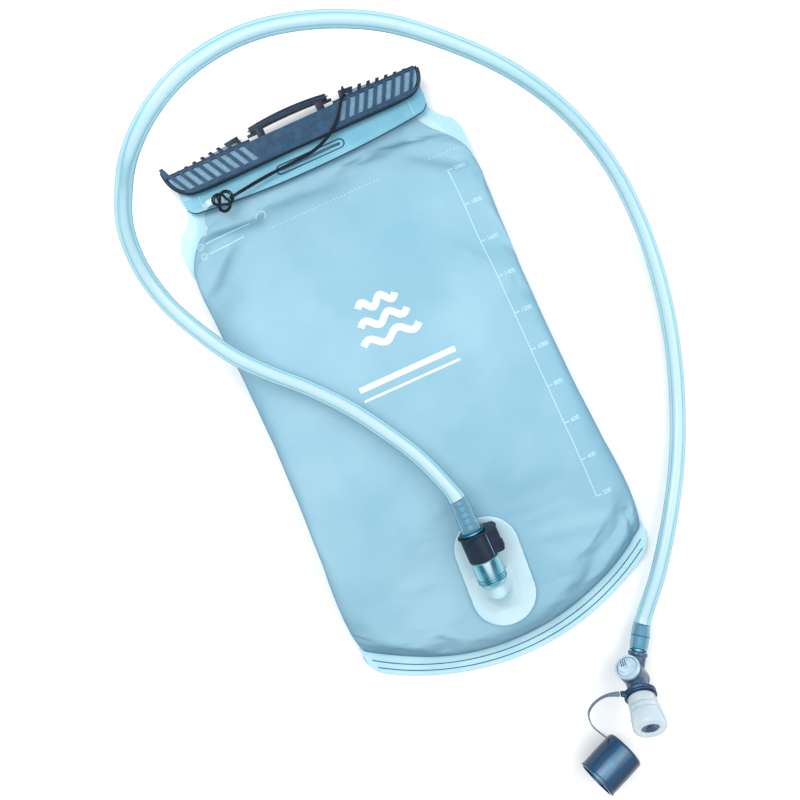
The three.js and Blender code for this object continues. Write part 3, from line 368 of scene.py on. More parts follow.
ROW = Matrix.Scale(MM, 4)
PLUG_AXIS = Vector(JOINTS["plug_release"]["axis"]).normalized()
PORT = local_frame(node_centre("plug_seal") - PLUG_AXIS * PLUG_SEAL_AT * MM, PLUG_AXIS, UP)
VALVE_AT = Vector(JOINTS["valve_swivel"]["pos_m"])
TUBE_AXIS = -Vector(JOINTS["valve_swivel"]["axis"]).normalized()
MOUTH_AXIS = Vector(JOINTS["tether_spin"]["axis"]).normalized()
KNOB_AXIS = Vector(JOINTS["shutoff_turn"]["axis"]).normalized()
VALVE = local_frame(VALVE_AT, MOUTH_AXIS, KNOB_AXIS)
FITTING = local_frame(VALVE_AT, TUBE_AXIS, UP)
CAP_SIDE = Vector((-sin(CAP["heading"]), cos(CAP["heading"]), 0))
CAP_AHEAD = Vector((cos(CAP["heading"]), sin(CAP["heading"]), 0))
CAP_AXIS = CAP_AHEAD * cos(CAP["dip"]) - UP * sin(CAP["dip"])
CAP_REACH = CAP_AXIS * CAP["strap_at"] + CAP_SIDE * (CAP["radius"] + CAP["strap_gap"])
CAP_FRAME = local_frame(Vector(JOINTS["cap_tilt"]["pos_m"]) - CAP_REACH * MM, CAP_AXIS, UP)

# ---------------------------------------------------------------- materials


def rgb(code):
    """A linear colour from the six-digit code of its display colour."""
    def linear(v):
        return v / 12.92 if v <= 0.04045 else ((v + 0.055) / 1.055) ** 2.4
    return [linear(int(code[i:i + 2], 16) / 255) for i in (0, 2, 4)] + [1.0]


class Tree:
    """A short way to write shader nodes."""

    def __init__(self, name):
        self.material = bpy.data.materials.new(name)
        self.material.use_nodes = True
        self.nodes = self.material.node_tree.nodes
        self.links = self.material.node_tree.links
        self.nodes.clear()

    def add(self, kind, inputs=None, **settings):
        made = self.nodes.new("ShaderNode" + kind)
        for key, value in settings.items():
            setattr(made, key, value)
        for key, value in (inputs or {}).items():
            if isinstance(value, bpy.types.NodeSocket):
                self.links.new(value, made.inputs[key])
            else:
                made.inputs[key].default_value = value
        return made

    def mix(self, factor, a, b):
        made = self.add("Mix", {0: factor, 6: a, 7: b}, data_type="RGBA")
        return made.outputs[2]

    def spread(self, value, low, high, to_low=0.0, to_high=1.0):
        inputs = {"Value": value, "From Min": low, "From Max": high, "To Min": to_low, "To Max": to_high}
        return self.add("MapRange", inputs).outputs[0]

    def noise(self, size, detail):
        """Noise whose features are about size millimetres across."""
        place = self.add("TexCoord").outputs["Object"]
        inputs = {"Vector": place, "Scale": 1 / (size * MM), "Detail": detail}
        return self.add("TexNoise", inputs).outputs["Fac"]

    def ramp(self, value, stops):
        made = self.add("ValToRGB", {"Fac": value})
        elements = made.color_ramp.elements
        while len(elements) < len(stops):
            elements.new(0.5)
        for element, (position, colour) in zip(elements, stops):
            element.position, element.color = position, rgb(colour)
        return made.outputs["Color"]

    def finish(self, surface):
        output = self.add("OutputMaterial")
        self.links.new(surface, output.inputs["Surface"])
        return self.material


def plastic(name, base, shade, rough=(0.35, 0.5), patch=14, grain=0.5, relief=0.06, edge=None,
            rim_shade_from=0.35, clear=(0, 0), tint=None, glow=0.0, coat=0.0, metallic=0.0, sheen=0.0,
            shine=0.5, bands=()):
    """A moulded or film surface: patchy colour, fine grain, painted rim shade, and see-through if wanted.

    clear is how see-through the surface is face on and at its rim, glow how much light passes
    scattered through it. edge is the colour of painted rim shade, mixed in toward the surface's
    silhouette past the facing value that follows it. bands are (turn from face on, colour) pairs
    of painted light: on a round clear wall the streaks its thickness bends the light into, on an
    opaque round part a highlight face on and shade toward the rim.
    """
    tree = Tree(name)
    base = rgb(base)
    patches = tree.spread(tree.noise(patch, 4), 0.35, 0.65)
    fine = tree.noise(grain, 3)
    facing = tree.add("LayerWeight", {"Blend": 0.5}).outputs["Facing"]
    colour = tree.mix(patches, base, rgb(shade))
    # Painted rim shade: the edge colour darkens the surface as it turns away from view.
    if edge:
        colour = tree.mix(tree.spread(facing, rim_shade_from, 1.0), colour, rgb(edge))
    # Painted highlight and shade: colours set by how squarely the surface faces the view.
    if bands:
        colour = tree.mix(tree.spread(patches, 0, 1, 0.8, 1.0), colour, tree.ramp(facing, bands))
    bump = tree.add("Bump", {"Strength": relief, "Distance": 0.1 * MM, "Height": fine}).outputs[0]
    surface = tree.add("BsdfPrincipled", {
        "Base Color": colour, "Roughness": tree.spread(fine, 0.3, 0.7, *rough), "Normal": bump,
        "Metallic": metallic, "Coat Weight": coat, "Coat Roughness": 0.12, "Sheen Weight": sheen,
        "Specular IOR Level": shine,
    }).outputs[0]
    if glow:
        soft = tree.add("BsdfTranslucent", {"Color": colour, "Normal": bump}).outputs[0]
        surface = tree.add("MixShader", {0: glow, 1: surface, 2: soft}).outputs[0]
    if clear != (0, 0):
        share = tree.spread(facing, 0.0, 1.0, *clear)
        through = tree.add("BsdfTransparent", {"Color": rgb(tint) if tint else base}).outputs[0]
        surface = tree.add("MixShader", {0: share, 1: surface, 2: through}).outputs[0]
    return tree.finish(surface)


def braided(name, base, shade):
    """Thin braided cord: fine diagonal strands."""
    tree = Tree(name)
    place = tree.add("TexCoord").outputs["Object"]
    strands = tree.add("TexWave", {"Vector": place, "Scale": 700.0, "Distortion": 3.0, "Detail": 1.0},
                       bands_direction="DIAGONAL").outputs["Fac"]
    colour = tree.mix(tree.spread(strands, 0.2, 0.8), rgb(base), rgb(shade))
    bump = tree.add("Bump", {"Strength": 0.5, "Distance": 0.15 * MM, "Height": strands}).outputs[0]
    return tree.finish(tree.add("BsdfPrincipled", {
        "Base Color": colour, "Roughness": 0.7, "Normal": bump, "Specular IOR Level": 0.25}).outputs[0])


# Edge colours in these finishes are painted rim shade; bands paint highlights, streaks and shade by how
# squarely a surface faces the view.
FILM = plastic("film", "a4d0e1", "90c2d6", (0.34, 0.46), 70, 1.6, 0.04, "2c7294", 0.14, (0.08, 0.02),
               "a6d2e2", 0.2, shine=0.3)
WELD_CLEAR = plastic("clear_weld", "cef1fa", "c2eaf6", (0.2, 0.32), 25, 1, 0.05, "6aacc4", 0.45,
                     (0.14, 0.02), "d4f2fa", 0.25, 0.3)
WELD_LINES = plastic("weld_line", "346a82", "427a92", (0.3, 0.4), 9, 0.6, shine=0.2)
FLAP_CLEAR = plastic("flap_clear", "8ecadf", "7cbed6", (0.22, 0.34), 22, 1.2, 0.08, "2e6c88", 0.36,
                     (0.1, 0.02), "a0d4e6", 0.15, 0.2, shine=0.3)
# Painted shade: dark lines under the flap's lip, round its slot and at the fitting's barb edges.
PAINTED_SHADE_LINE = plastic("painted_shading_line", "0e3a54", "184c66", (0.3, 0.45), 8, 0.5, shine=0.2)
PORT_CLEAR = plastic("port_clear", "daf3f9", "ceedf6", (0.16, 0.28), 18, 0.8, 0.04, "7abacc", 0.5,
                     (0.2, 0.05), "d7f3fa", 0.2, 0.5)
BARREL_CLEAR = plastic("barrel_clear", "96d7e4", "6ebed2", (0.06, 0.14), 7, 0.6, 0.02, clear=(0.2, 0.05),
                       tint="bee8f2", glow=0.1, coat=0.15, shine=0.2, bands=((0, "def4f9"),
                       (0.045, "bee8f1"), (0.085, "105470"), (0.17, "084662"), (0.25, "54a6be"),
                       (0.5, "aae2ee"), (1, "468ca2")))
TUBE_BANDS = ((0, "e2f6fa"), (0.12, "cef0f7"), (0.25, "8ac8d8"), (0.33, "c4ebf4"), (0.55, "a8dce9"),
              (0.8, "3a7c94"), (1, "245c74"))
TUBE_CLEAR = plastic("tube_clear", "d6f3f9", "c4ecf5", (0.08, 0.18), 30, 0.8, 0.03, clear=(0.34, 0.04),
                     tint="e2f6fb", glow=0.2, coat=0.7, bands=TUBE_BANDS)
TUBE_STRETCHED = plastic("tube_stretched", "bee8f2", "aadeec", (0.06, 0.14), 9, 0.8, 0.03, clear=(0.9, 0.3),
                         tint="ceeef7", glow=0.1, shine=0.12, bands=TUBE_BANDS)
SLATE = plastic("slide_slate", "284c68", "1c3e5a", (0.4, 0.6), 3.5, 0.45, 0.4, "0e2236", 0.5, shine=0.25)
# Lighter floors for the grip recesses; on the collar this finish is a painted highlight strip.
GRIP_FLOOR = plastic("grip_floor", "7a9eb4", "648aa2", (0.45, 0.65), 1.6, 0.4, 0.5, shine=0.25)
NAVY = plastic("navy_plastic", "0e2438", "081a2c", (0.32, 0.5), 5, 0.4, 0.25, "040a14", 0.6, shine=0.3)
# Painted highlight face on and painted shade toward the rim, for the plug, barbs, rings and fitting.
TEAL = plastic("teal_plastic", "126c86", "0a5a76", (0.12, 0.24), 6, 0.5, 0.06, shine=0.25,
               bands=((0, "8cd0e0"), (0.05, "3c9cb8"), (0.16, "086084"), (0.5, "044262"), (1, "02283e")))
VALVE_SLATE = plastic("valve_slate", "3c5a76", "2a4662", (0.22, 0.4), 5, 0.5, 0.12, "0e1c2e", 0.5, coat=0.3,
                      shine=0.4)
KNOB_GREY = plastic("knob_grey", "bed4e2", "a6c0d2", (0.35, 0.5), 4, 0.4, 0.15, "425a76", 0.5, coat=0.1)
SILICONE = plastic("silicone", "f0f7fa", "deecf3", (0.3, 0.45), 8, 0.7, 0.06, "86a8be", 0.5, (0.28, 0.06),
                   "eef7fb", 0.35, 0.1, sheen=0.1)
# Painted highlight band along the cap and ring, and painted shade toward their sides.
CAP_BLUE = plastic("cap_blue", "1a3e5e", "12304e", (0.16, 0.28), 7, 0.6, 0.06, coat=0.15, shine=0.3,
                   bands=((0, "7096b2"), (0.008, "5e86a2"), (0.055, "224a6a"), (0.4, "123250"),
                   (1, "061428")))
# Painted highlight for the cap's open end.
CAP_RIM_HIGHLIGHT = plastic("cap_rim_highlight", "96b8ce", "789cb6", (0.2, 0.32), 5, 0.6, 0.06)
STRAP_GREY = plastic("strap_grey", "687884", "566674", (0.4, 0.55), 5, 0.5, 0.1, shine=0.3)
CORD_BLACK = braided("cord", "060d16", "162434")
RUBBER = plastic("seal", "101318", "0a0c10", (0.4, 0.6), 2, 0.3, 0.2, shine=0.3)
STEEL = plastic("spring_steel", "c4c8cd", "aaaeb4", (0.18, 0.3), 1.5, 0.3, 0.05, metallic=1)
PRINT = plastic("print_white", "e2f0f5", "d0e6ee", (0.45, 0.6), 3, 0.3, 0.05)
PRINT_FAINT = plastic("print_faint", "c4e2ec", "b8dbe8", (0.45, 0.6), 3, 0.3, 0.05)

# ---------------------------------------------------------------- building and joining pieces


def settle(obj):
    """Applies an object's modifiers to its mesh."""
    graph = bpy.context.evaluated_depsgraph_get()
    made = bpy.data.meshes.new_from_object(obj.evaluated_get(graph))
    obj.modifiers.clear()
    obj.data = made


def add_object(name, data):
    made = bpy.data.objects.new(name, data)
    SCENE.collection.objects.link(made)
    return made


def from_bmesh(name, bm, material):
    mesh = bpy.data.meshes.new(name)
    bm.to_mesh(mesh)
    bm.free()
    mesh.materials.append(material)
    return add_object(name, mesh)


def modify(obj, kind, **settings):
    """Adds a modifier."""
    made = obj.modifiers.new(kind.lower(), kind)
    for key, value in settings.items():
        setattr(made, key, value)
    return made


def make(name, shapes, matrix, material):
    """An object from one or more shapes, in metres, faces outward."""
    bm = bmesh.new()
    for points, faces in shapes:
        verts = [bm.verts.new(matrix @ Vector(p)) for p in points]
        for face in faces:
            corners = [verts[i] for i in face]
            if len(set(corners)) > 2:
                bm.faces.new(corners)
    bmesh.ops.remove_doubles(bm, verts=bm.verts, dist=1e-7)
    bmesh.ops.recalc_face_normals(bm, faces=bm.faces)
    return from_bmesh(name, bm, material)


def smooth(obj, angle=38):
    obj.data.polygons.foreach_set("use_smooth", [True] * len(obj.data.polygons))
    obj.data.set_sharp_from_angle(angle=radians(angle))
    return obj


def paint(obj, materials, pick):
    """Adds materials, and gives each face the one that pick returns for its centre and normal."""
    for material in materials:
        obj.data.materials.append(material)
    for face in obj.data.polygons:
        face.material_index = pick(face.center / MM, face.normal)


def place(obj, body, slot, *replaces):
    """Puts an object on a body and hides the CAD pieces it stands for; slot is not used."""
    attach(obj, body)
    if replaces:
        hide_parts(*replaces)
    return obj


def build(name, shapes, matrix, material, body, slot, *replaces, angle=38):
    return place(smooth(make(name, shapes, matrix, material), angle), body, slot, *replaces)


def subtract(obj, shapes, matrix):
    """Cuts shapes out of an object."""
    cutter = make("cutter", shapes, matrix, obj.data.materials[0])
    modify(obj, "BOOLEAN", object=cutter, operation="DIFFERENCE", solver="EXACT")
    settle(obj)
    bpy.data.objects.remove(cutter)


def moulded(name, shapes, matrix, material, voxel, passes=6, cuts=()):
    """Shapes melted into one moulding with small fillets where they meet."""
    obj = make(name, shapes, matrix, material)
    modify(obj, "REMESH", mode="VOXEL", voxel_size=voxel * MM)
    modify(obj, "SMOOTH", factor=0.5, iterations=passes)
    settle(obj)
    if cuts:
        subtract(obj, cuts, matrix)
    return smooth(obj, 32)


def refined(name, node, material, bevel):
    """A copy of a CAD solid with its flat faces merged and its edges rounded."""
    bm = bmesh.new()
    bm.from_mesh(frame["nodes"][node].data)
    bmesh.ops.remove_doubles(bm, verts=bm.verts, dist=1e-6)
    bmesh.ops.dissolve_limit(bm, angle_limit=radians(1.5), verts=bm.verts, edges=bm.edges)
    obj = from_bmesh(name, bm, material)
    modify(obj, "BEVEL", width=bevel * MM, segments=2, limit_method="ANGLE", angle_limit=radians(28))
    settle(obj)
    return smooth(obj, 40)


# ---------------------------------------------------------------- bag


def bag_sections():
    """Dense, smoothed rows (y, half, back, fold, front) up the bag."""
    rows = np.array(BAG_ROWS)
    low, high = rows[0, 0], rows[-1, 0]
    count = round((high - low) / BAG_GRID["step"])
    shares = [k / count for k in range(count + 1)]
    ys = np.array([low + (high - low) * (t - 0.06 * sin(2 * pi * t)) for t in shares])
    ys[1:4] = low + np.array([0.9, 2.2, 4.2])
    table = np.column_stack([ys] + [np.interp(ys, rows[:, 0], rows[:, c]) for c in range(1, 5)])
    for _ in range(6):
        table[4:-1, 1:] = (table[3:-2, 1:] + 2 * table[4:-1, 1:] + table[5:, 1:]) / 4
    return table


def arc_rise(x):
    """How far the bottom weld's arc has risen at a distance from the centreline."""
    return ARC_RADIUS - sqrt(max(ARC_RADIUS ** 2 - x ** 2, 0))


def ease_in(value, start, end):
    """0 up to start, 1 from end on, and straight between them."""
    return max(0.0, min(1.0, (value - start) / (end - start)))


def from_segment(x, y, start, end):
    """Distance from a point to a segment."""
    a, b, p = Vector(start), Vector(end), Vector((x, y))
    t = ease_in((p - a).dot(b - a) / (b - a).length_squared, 0, 1)
    return (p - a - (b - a) * t).length


def port_shelter(x, y):
    """1 away from the port's flange, falling to 0 under it, so that the film lies flat there."""
    return ease_in(from_segment(x, y, *PORT_SPINE), 20, 34)


def film_relief(x, y, half):
    """Height that dents and ripples add to the front film."""
    drop = sum(depth * exp(-(from_segment(x, y, a, b) / width) ** 2) for a, b, width, depth in DENTS)
    ripple = RIPPLE["height"] * noise.noise(Vector((x, y, 0)) / RIPPLE["length"]) * 2
    side = max(0, abs(x) / half - 0.7) / 0.3
    ripple += RIPPLE["side_height"] * side * noise.noise(Vector((x * 0.4, y, 40)) / RIPPLE["side_length"]) * 2
    return (ripple - drop) * ease_in(y, -172, -158) * ease_in(-y, -150, -138) * port_shelter(x, y)


def bag_loop(y, half, back, fold, front):
    """One closed section of the bag."""
    loop = []
    for angle in turns(BAG_GRID["round"]):
        on_front = sin(angle) > 0
        power = FRONT_ROUNDNESS if on_front else BACK_ROUNDNESS
        x = half * bulged(cos(angle), 2 / power)
        height = abs(sin(angle)) ** (2 / power)
        at_y = y + arc_rise(x) * ease_in(-y, 80, 160)
        if on_front:
            z = fold + (front - fold) * height + film_relief(x, at_y, half) * min(1, height * 1.6)
        else:
            z = max(fold - (fold - back + BACK_SAG) * height, back)
        loop.append((x, at_y, z))
    return loop


def held(x, y, z):
    """How firmly a point of the film is held: 1 at the welds, the mouth, the port and the ground."""
    from_arc = hypot(x, y - ARC_CENTRE_Y) if y < ARC_CENTRE_Y else 0.0
    ends = max(ease_in(from_arc, 150, 157), ease_in(y, 136, 146))
    return max(ends, 1 - port_shelter(x, y), ease_in(-z, -4.0, -1.5))


def billow(shell):
    """Cloth pass: the film, a little too long for its pouch, swells and creases under light pressure."""
    flat = np.array([v.co for v in shell.data.vertices]) / MM
    group = shell.vertex_groups.new(name="held")
    for i, point in enumerate(flat):
        group.add([i], held(*point), "REPLACE")
    cloth = modify(shell, "CLOTH")
    for key, value in BILLOW["cloth"].items():
        setattr(cloth.settings, key, value)
    cloth.settings.effector_weights.gravity = 0.0
    cloth.collision_settings.use_collision = False
    cloth.point_cache.frame_end = BILLOW["frames"]
    for step in range(1, BILLOW["frames"] + 1):
        SCENE.frame_set(step)
    settle(shell)
    SCENE.frame_set(1)
    swollen = np.array([v.co for v in shell.data.vertices]) / MM
    shift = swollen - flat
    length = np.linalg.norm(shift, axis=1, keepdims=True)
    shift *= BILLOW["cap"] * np.tanh(length / BILLOW["cap"]) / np.maximum(length, 1e-6)
    shift[:, 0] *= np.interp(np.abs(flat[:, 0]), [70, 86], [1, 0.2])
    points = flat + shift
    points[:, 2] = np.maximum(points[:, 2], BAG_FLOOR)
    shell.data.vertices.foreach_set("co", (points * MM).ravel())
    shell.vertex_groups.clear()


def bag():
    shell = make("bag_shell", [loft([bag_loop(*row) for row in bag_sections()])], ROW, FILM)
    billow(shell)
    modify(shell, "SUBSURF", levels=1, render_levels=1)
    settle(shell)
    return place(smooth(shell, 70), "reservoir", "film", "bag_film")


def weld_end(radius):
    """How far the bottom weld reaches to either side at a radius of its arc."""
    into = max(0.0, radius - (WELD["outer"] - WELD["round"])) / WELD["round"]
    return WELD["side"] - WELD["round"] * (1 - sqrt(max(1 - into ** 2, 0)))


def line_distance(radius):
    return min(abs(radius - line) for line in WELD["lines"])


def bottom_weld():
    """The clear band along the bottom, with two pressed lines."""
    low, high = WELD["z"]
    inner, outer = WELD["inner"], WELD["outer"]
    half, end_gap = WELD_LINE["half"], WELD_LINE["end_gap"]
    radii = [inner, ARC_RADIUS, 160]
    for line in WELD["lines"]:
        radii += [line + half * k for k in range(-2, 3)]
    radii += [outer - 0.8, outer - 0.2, outer]
    loops = []
    for i in range(-75, 76):
        share = sin(i / 75 * pi / 2) * 0.35 + i / 75 * 0.65
        top = []
        for radius in radii:
            reach = weld_end(radius)
            x = share * reach
            pressed = line_distance(radius) < 0.5 * half and abs(x) < reach - end_gap
            edge = 0.35 if radius in (outer, inner) else 0
            wave = 0.35 * sin(x / 17 + 1) * (radius - inner) / 12
            y = ARC_CENTRE_Y - sqrt(radius ** 2 - x ** 2)
            top.append((x, y, high + wave - edge - (WELD_LINE["depth"] if pressed else 0)))
        under = [(x, y, z - (high - low) + 0.2) for x, y, z in reversed(top)]
        loops.append(top + under)
    band = make("bottom_weld", [loft(loops)], ROW, WELD_CLEAR)

    def pick(centre, normal):
        radius = hypot(centre.x, centre.y - ARC_CENTRE_Y)
        inside = abs(centre.x) < weld_end(radius) - end_gap
        return 1 if line_distance(radius) < half and inside and normal.z > 0.1 else 0
    paint(band, [WELD_LINES], pick)
    place(smooth(band, 60), *ON_BAG, "bag_film")


def shoulder_weld(side, name):
    """The clear margin at one shoulder."""
    outline = [(81.6, 163), (81.6, 151)]
    for bend in (((83.6, 145.5), (90.5, 140.5)), ((95.4, 137), (95.4, 127)), ((95.2, 113),), ((92.4, 113),),
                 ((90, 124), (79, 133)), ((71.5, 139.5), (71.5, 148))):
        if len(bend) == 1:
            outline.append(bend[0])
            continue
        a, (c, b) = Vector(outline[-1]), map(Vector, bend)
        outline += [tuple(curl(a, c, b, k / 10)) for k in range(1, 11)]
    outline.append((71.5, 163))
    margin = make(name, [prism([(side * x, y) for x, y in outline], 7.4, 8.3)], ROW, WELD_CLEAR)
    modify(margin, "BEVEL", width=0.3 * MM, segments=2, limit_method="ANGLE")
    settle(margin)
    place(smooth(margin), *ON_BAG, "bag_film")


# ---------------------------------------------------------------- mouth flap


def flap_drop(x):
    """How far the lip hangs below the hinge line at x."""
    straight = FLAP["half"] - FLAP["corner"]
    if abs(x) <= straight:
        return FLAP["middle_drop"] - (FLAP["middle_drop"] - FLAP["side_drop"]) * (x / straight) ** 2
    into = min(1.0, (abs(x) - straight) / FLAP["corner"])
    return FLAP["end_drop"] + (FLAP["side_drop"] - FLAP["end_drop"]) * sqrt(1 - into ** 2)


def flap_point(x, drop, lift=0.0):
    """A point on the flap, drop millimetres down from the hinge line and lift above its middle."""
    y0, z0 = FLAP["hinge"]
    c, s = cos(FLAP["lean"]), sin(FLAP["lean"])
    wave = 0.35 * sin(x / 13.0 + 0.6) * max(0.0, drop / 15) ** 2
    return Vector((x, y0 - drop * c + lift * s, z0 + drop * s + (lift + wave) * c))


def flap_section(x):
    """The closed outline of the fold and the hanging flap at x."""
    y, z = BEAD["y"], BEAD["z"]
    middle = [(162.6, z - 2.9, 0.37), (166, z - 2.9, 0.37)]
    middle += [(y + 2.9 * cos(a), z + 2.9 * sin(a), 0.37) for a in [pi * (k / 8 - 0.5) for k in range(9)]]
    middle += [(166, z + 2.75, 0.38), (162.5, z + 2.1, 0.45)]
    line = [(Vector((x, a, b)), half) for a, b, half in middle]
    for share in [k / 12 for k in range(13)]:
        half = FLAP["thick"] / 2 * (1 - 0.55 * max(0, share - 0.9) / 0.1)
        line.append((flap_point(x, flap_drop(x) * share), half))
    upper, lower = [], []
    for i, (point, half) in enumerate(line):
        along = (line[min(i + 1, len(line) - 1)][0] - line[max(i - 1, 0)][0]).normalized()
        out = Vector((0, -along.z, along.y)) * half
        upper.append(tuple(point + out))
        lower.append(tuple(point - out))
    return upper + lower[::-1]


def mouth_flap():
    half = FLAP["half"]
    xs = [half * (sin(k / 85 * pi / 2) * 0.25 + k / 85 * 0.75) for k in range(-85, 86)]
    flap = make("flap_sheet", [loft([flap_section(x) for x in xs])], ROW, FLAP_CLEAR)
    slot_at = flap_point(FLAP_SLOT["x"], FLAP_SLOT["drop"])
    onto = ROW @ Matrix.Translation(slot_at) @ Matrix.Rotation(-FLAP["lean"], 4, "X")
    subtract(flap, [prism(stadium(FLAP_SLOT["half"], FLAP_SLOT["height"] / 2), -3, 3)], onto)
    place(smooth(flap, 50), *ON_BAG, "mouth_flap")
    # Painted shade: a dark outline round the slot.
    rim = [(x, y, 0.62) for x, y in stadium(FLAP_SLOT["rim_half"], FLAP_SLOT["rim_height"] / 2, 24)]
    build("flap_slot_rim", [rod(rim, 0.42, 10, True, UP)], onto, PAINTED_SHADE_LINE, *ON_BAG)
    xs = [half * 0.985 * k / 75 for k in range(-75, 76)]
    # Painted shade: a dark rod along the lip for the shade and shadow under it.
    lip_shade = rod([flap_point(x, flap_drop(x) - 0.1, 0.12) for x in xs], 0.4, 8)
    build("flap_lip_shade", [lip_shade], ROW, PAINTED_SHADE_LINE, *ON_BAG)
    creases = [rod([flap_point(x, flap_drop(x) - 2.6, 0.5) for x in xs[4:-4]], 0.18, 6)]
    for x in (-FLAP_SEAM_X, FLAP_SEAM_X):
        creases.append(rod([flap_point(x, flap_drop(x) * k / 12, 0.5) for k in range(12)], 0.3, 8))
    build("flap_creases", creases, ROW, WELD_CLEAR, *ON_BAG)
    ends = BEAD["half"]
    profile = [(0, -ends), (BEAD["radius"], -ends), (BEAD["radius"], ends), (0, ends)]
    bead = shifted(about_x(turned(profile, 0.8, 40)), 0, BEAD["y"], BEAD["z"])
    build("bead", [bead], ROW, FLAP_CLEAR, *ON_BAG, "seal_bead")


def cord_tab():
    """The bridge that the cord is tied round: a strap of clear plastic on two feet."""
    half = TAB["length"] / 2
    foot = [(-half, 0.4), (1.4 - half, 1), (2.6 - half, 2.6)]
    path = foot + [(0, 3.1)] + [(-x, lift) for x, lift in reversed(foot)]
    controls = [flap_point(TAB["x"] + x, TAB["drop"], lift) for x, lift in path]
    strip = ribbon(curve_points(controls, 0.6), lambda t: TAB["width"], lambda t: 1.2, (0, 1, 0))
    build("tab", [strip], ROW, PORT_CLEAR, *ON_BAG, "cord_tab")


# ---------------------------------------------------------------- slide closure


def grip_edge(y):
    """Where the grip's slanted inner edge stands at a height."""
    return GRIP["first"] - GRIP["pitch"] + (y - GRIP["base"]) * tan(GRIP["lean"])


def grip_cell(side, low, high, floor):
    """The slanted recess nearest the middle, one on each side."""
    ends = ((low, -0.5), (low, 0.5), (high, 0.5), (high, -0.5))
    corners = [(side * (grip_edge(y) + share * GRIP["width"]), y) for y, share in ends]
    return prism(corners[::side], floor, floor + 3)


def slide_closure():
    """The moulding, with dark rods of painted shade along its lower and upper edges, and a ridge on the
    handle.
    """
    crest, face, rear = SLIDE["crest"], SLIDE["face"], SLIDE["rear"]
    slide = refined("slide_moulding", "slide_closure", SLATE, 0.32)
    floors = (face - SLIDE["grip_depth"], rear - SLIDE["grip_depth"])
    rows = ((163, crest - 1.2, floors[0]), (crest + 1.4, 181.6, floors[1]))
    subtract(slide, [grip_cell(side, *row) for side in (-1, 1) for row in rows], ROW)

    def pick(centre, normal):
        x, y, height = abs(centre.x), centre.y, centre.z
        in_grip = x > grip_edge(y) - 2.2
        on_floor = min(abs(height - floor) for floor in floors) < 0.08 and normal.z > 0.95
        on_handle = x < HANDLE["half"] + 1 and y > HANDLE["foot"]
        # Painted shade: the walls and bevels round the grip recesses take the navy.
        on_shaded_wall = in_grip and normal.z < 0.95 and y > 162
        on_tooth = x > GRIP["first"] and y > crest + 0.6 and height > rear - 0.5
        return 1 if on_floor and in_grip else 2 if on_handle or on_shaded_wall or on_tooth else 0
    paint(slide, [GRIP_FLOOR, NAVY], pick)
    place(slide, "slide", "slide_slate", "slide_closure")
    # Painted shade: a dark rod under the face's lower edge for its shaded underside and the shadow on the
    # flap, and one each side along the crest for the shade between the two rows.
    lower = [(-85.6, 179.5), (-84.6, 173), (-81.2, 166.2), (-75, 161.4), (-68, 160.2), (0, 160.2),
             (68, 160.2), (76, 161.4), (81, 165.6), (83.4, 171), (83.6, 174.2)]
    shade_rods = [rod(curve_points([(x, y, face - 1.7) for x, y in lower], 2), 1.35)]
    for side in (-1, 1):
        shade_rods.append(rod([(side * (28 + 54 * k / 20), crest + 0.2, face - 0.9) for k in range(21)], 0.85, 10))
    build("slide_shade_rods", shade_rods, ROW, NAVY, "slide", "slide_slate")
    rise = HANDLE["crown"] - HANDLE["tip"]
    spans = [0.9 * k / 30 for k in range(-30, 31)]
    ridge = [(HANDLE["half"] * t, HANDLE["tip"] + rise * (1 - t ** 2) - 2, 12.95) for t in spans]
    build("handle_ridge", [rod(ridge, 0.4, 10)], ROW, SLATE, "slide", "slide_slate")


# ---------------------------------------------------------------- cord


def strand(offset):
    """One strand of the cord, from the knot over the slide's face to the eye."""
    over = SLIDE["face"] + 1
    x, y, z = KNOT["centre"]
    at, up = EYE
    controls = [
        (x + 4, y + offset * 0.4, z - 0.2), (-44, 148.4 + offset, 18.6), (-28, 150.6 + offset, 17),
        (-10, 151.9 + offset * 0.9, 16.2), (6, 153.4 + offset * 1.1, 16.4), (19, 158.6 + offset, over),
        (28.5, 167.4 + offset * 1.1, over), (33.2, 174.2 + offset, over + 0.2),
        (at - 1.2 + offset, up - 1, 13.5), (at + offset * 0.6, up, 7.5), (at + offset * 0.6, up + 0.2, 2.2)]
    return curve_points(controls, 0.8)


def knot_loop(inner):
    """A trefoil of cord."""
    path = []
    x, y, z = KNOT["centre"]
    for t in turns(150):
        reach = (2 + cos(3 * t)) * (KNOT["size"] + inner * 0.32)
        height = KNOT["height"] * sin(3 * t) + inner * 0.4
        path.append((x + reach * cos(2 * t + 0.4), y + reach * sin(2 * t + 0.4), z + height))
    return path


def tether_cord():
    """Two strands with a knot round the tab and a loop round the slide's top edge."""
    radius, (at, up) = CORD["radius"], EYE
    shapes = [rod(strand(side * CORD["spread"]), radius, 10) for side in (-1, 1)]
    loop = [(at + 0.4, up + 0.2, 1.9), (at + 1, 182, 1.2), (at + 1.4, 185, 2.2), (at + 1.2, 185.6, 5.2),
            (at + 0.4, 183.6, 9.6), (at - 1.2, 179.4, 14.8), (at - 2.4, 175.4, 17.2)]
    shapes.append(rod(curve_points(loop, 0.7), radius, 10))
    cord = smooth(make("cord_strands", shapes, ROW, CORD_BLACK), 60)
    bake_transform(cord)
    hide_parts("tether_cord")
    knots = [rod(knot_loop(inner), radius, 10, True) for inner in (-0.58, 0.58)]
    round_tab = [flap_point(TAB["x"] + 3.6, TAB["drop"] + 2.9 * cos(a), 2.4 + 1.5 * sin(a))
                 for a in np.arange(0, 2 * pi, 0.3)]
    knots.append(rod(round_tab, radius, 10, True))
    build("cord_knot", knots, ROW, CORD_BLACK, "reservoir", "cord", angle=60)


# ---------------------------------------------------------------- port and plug


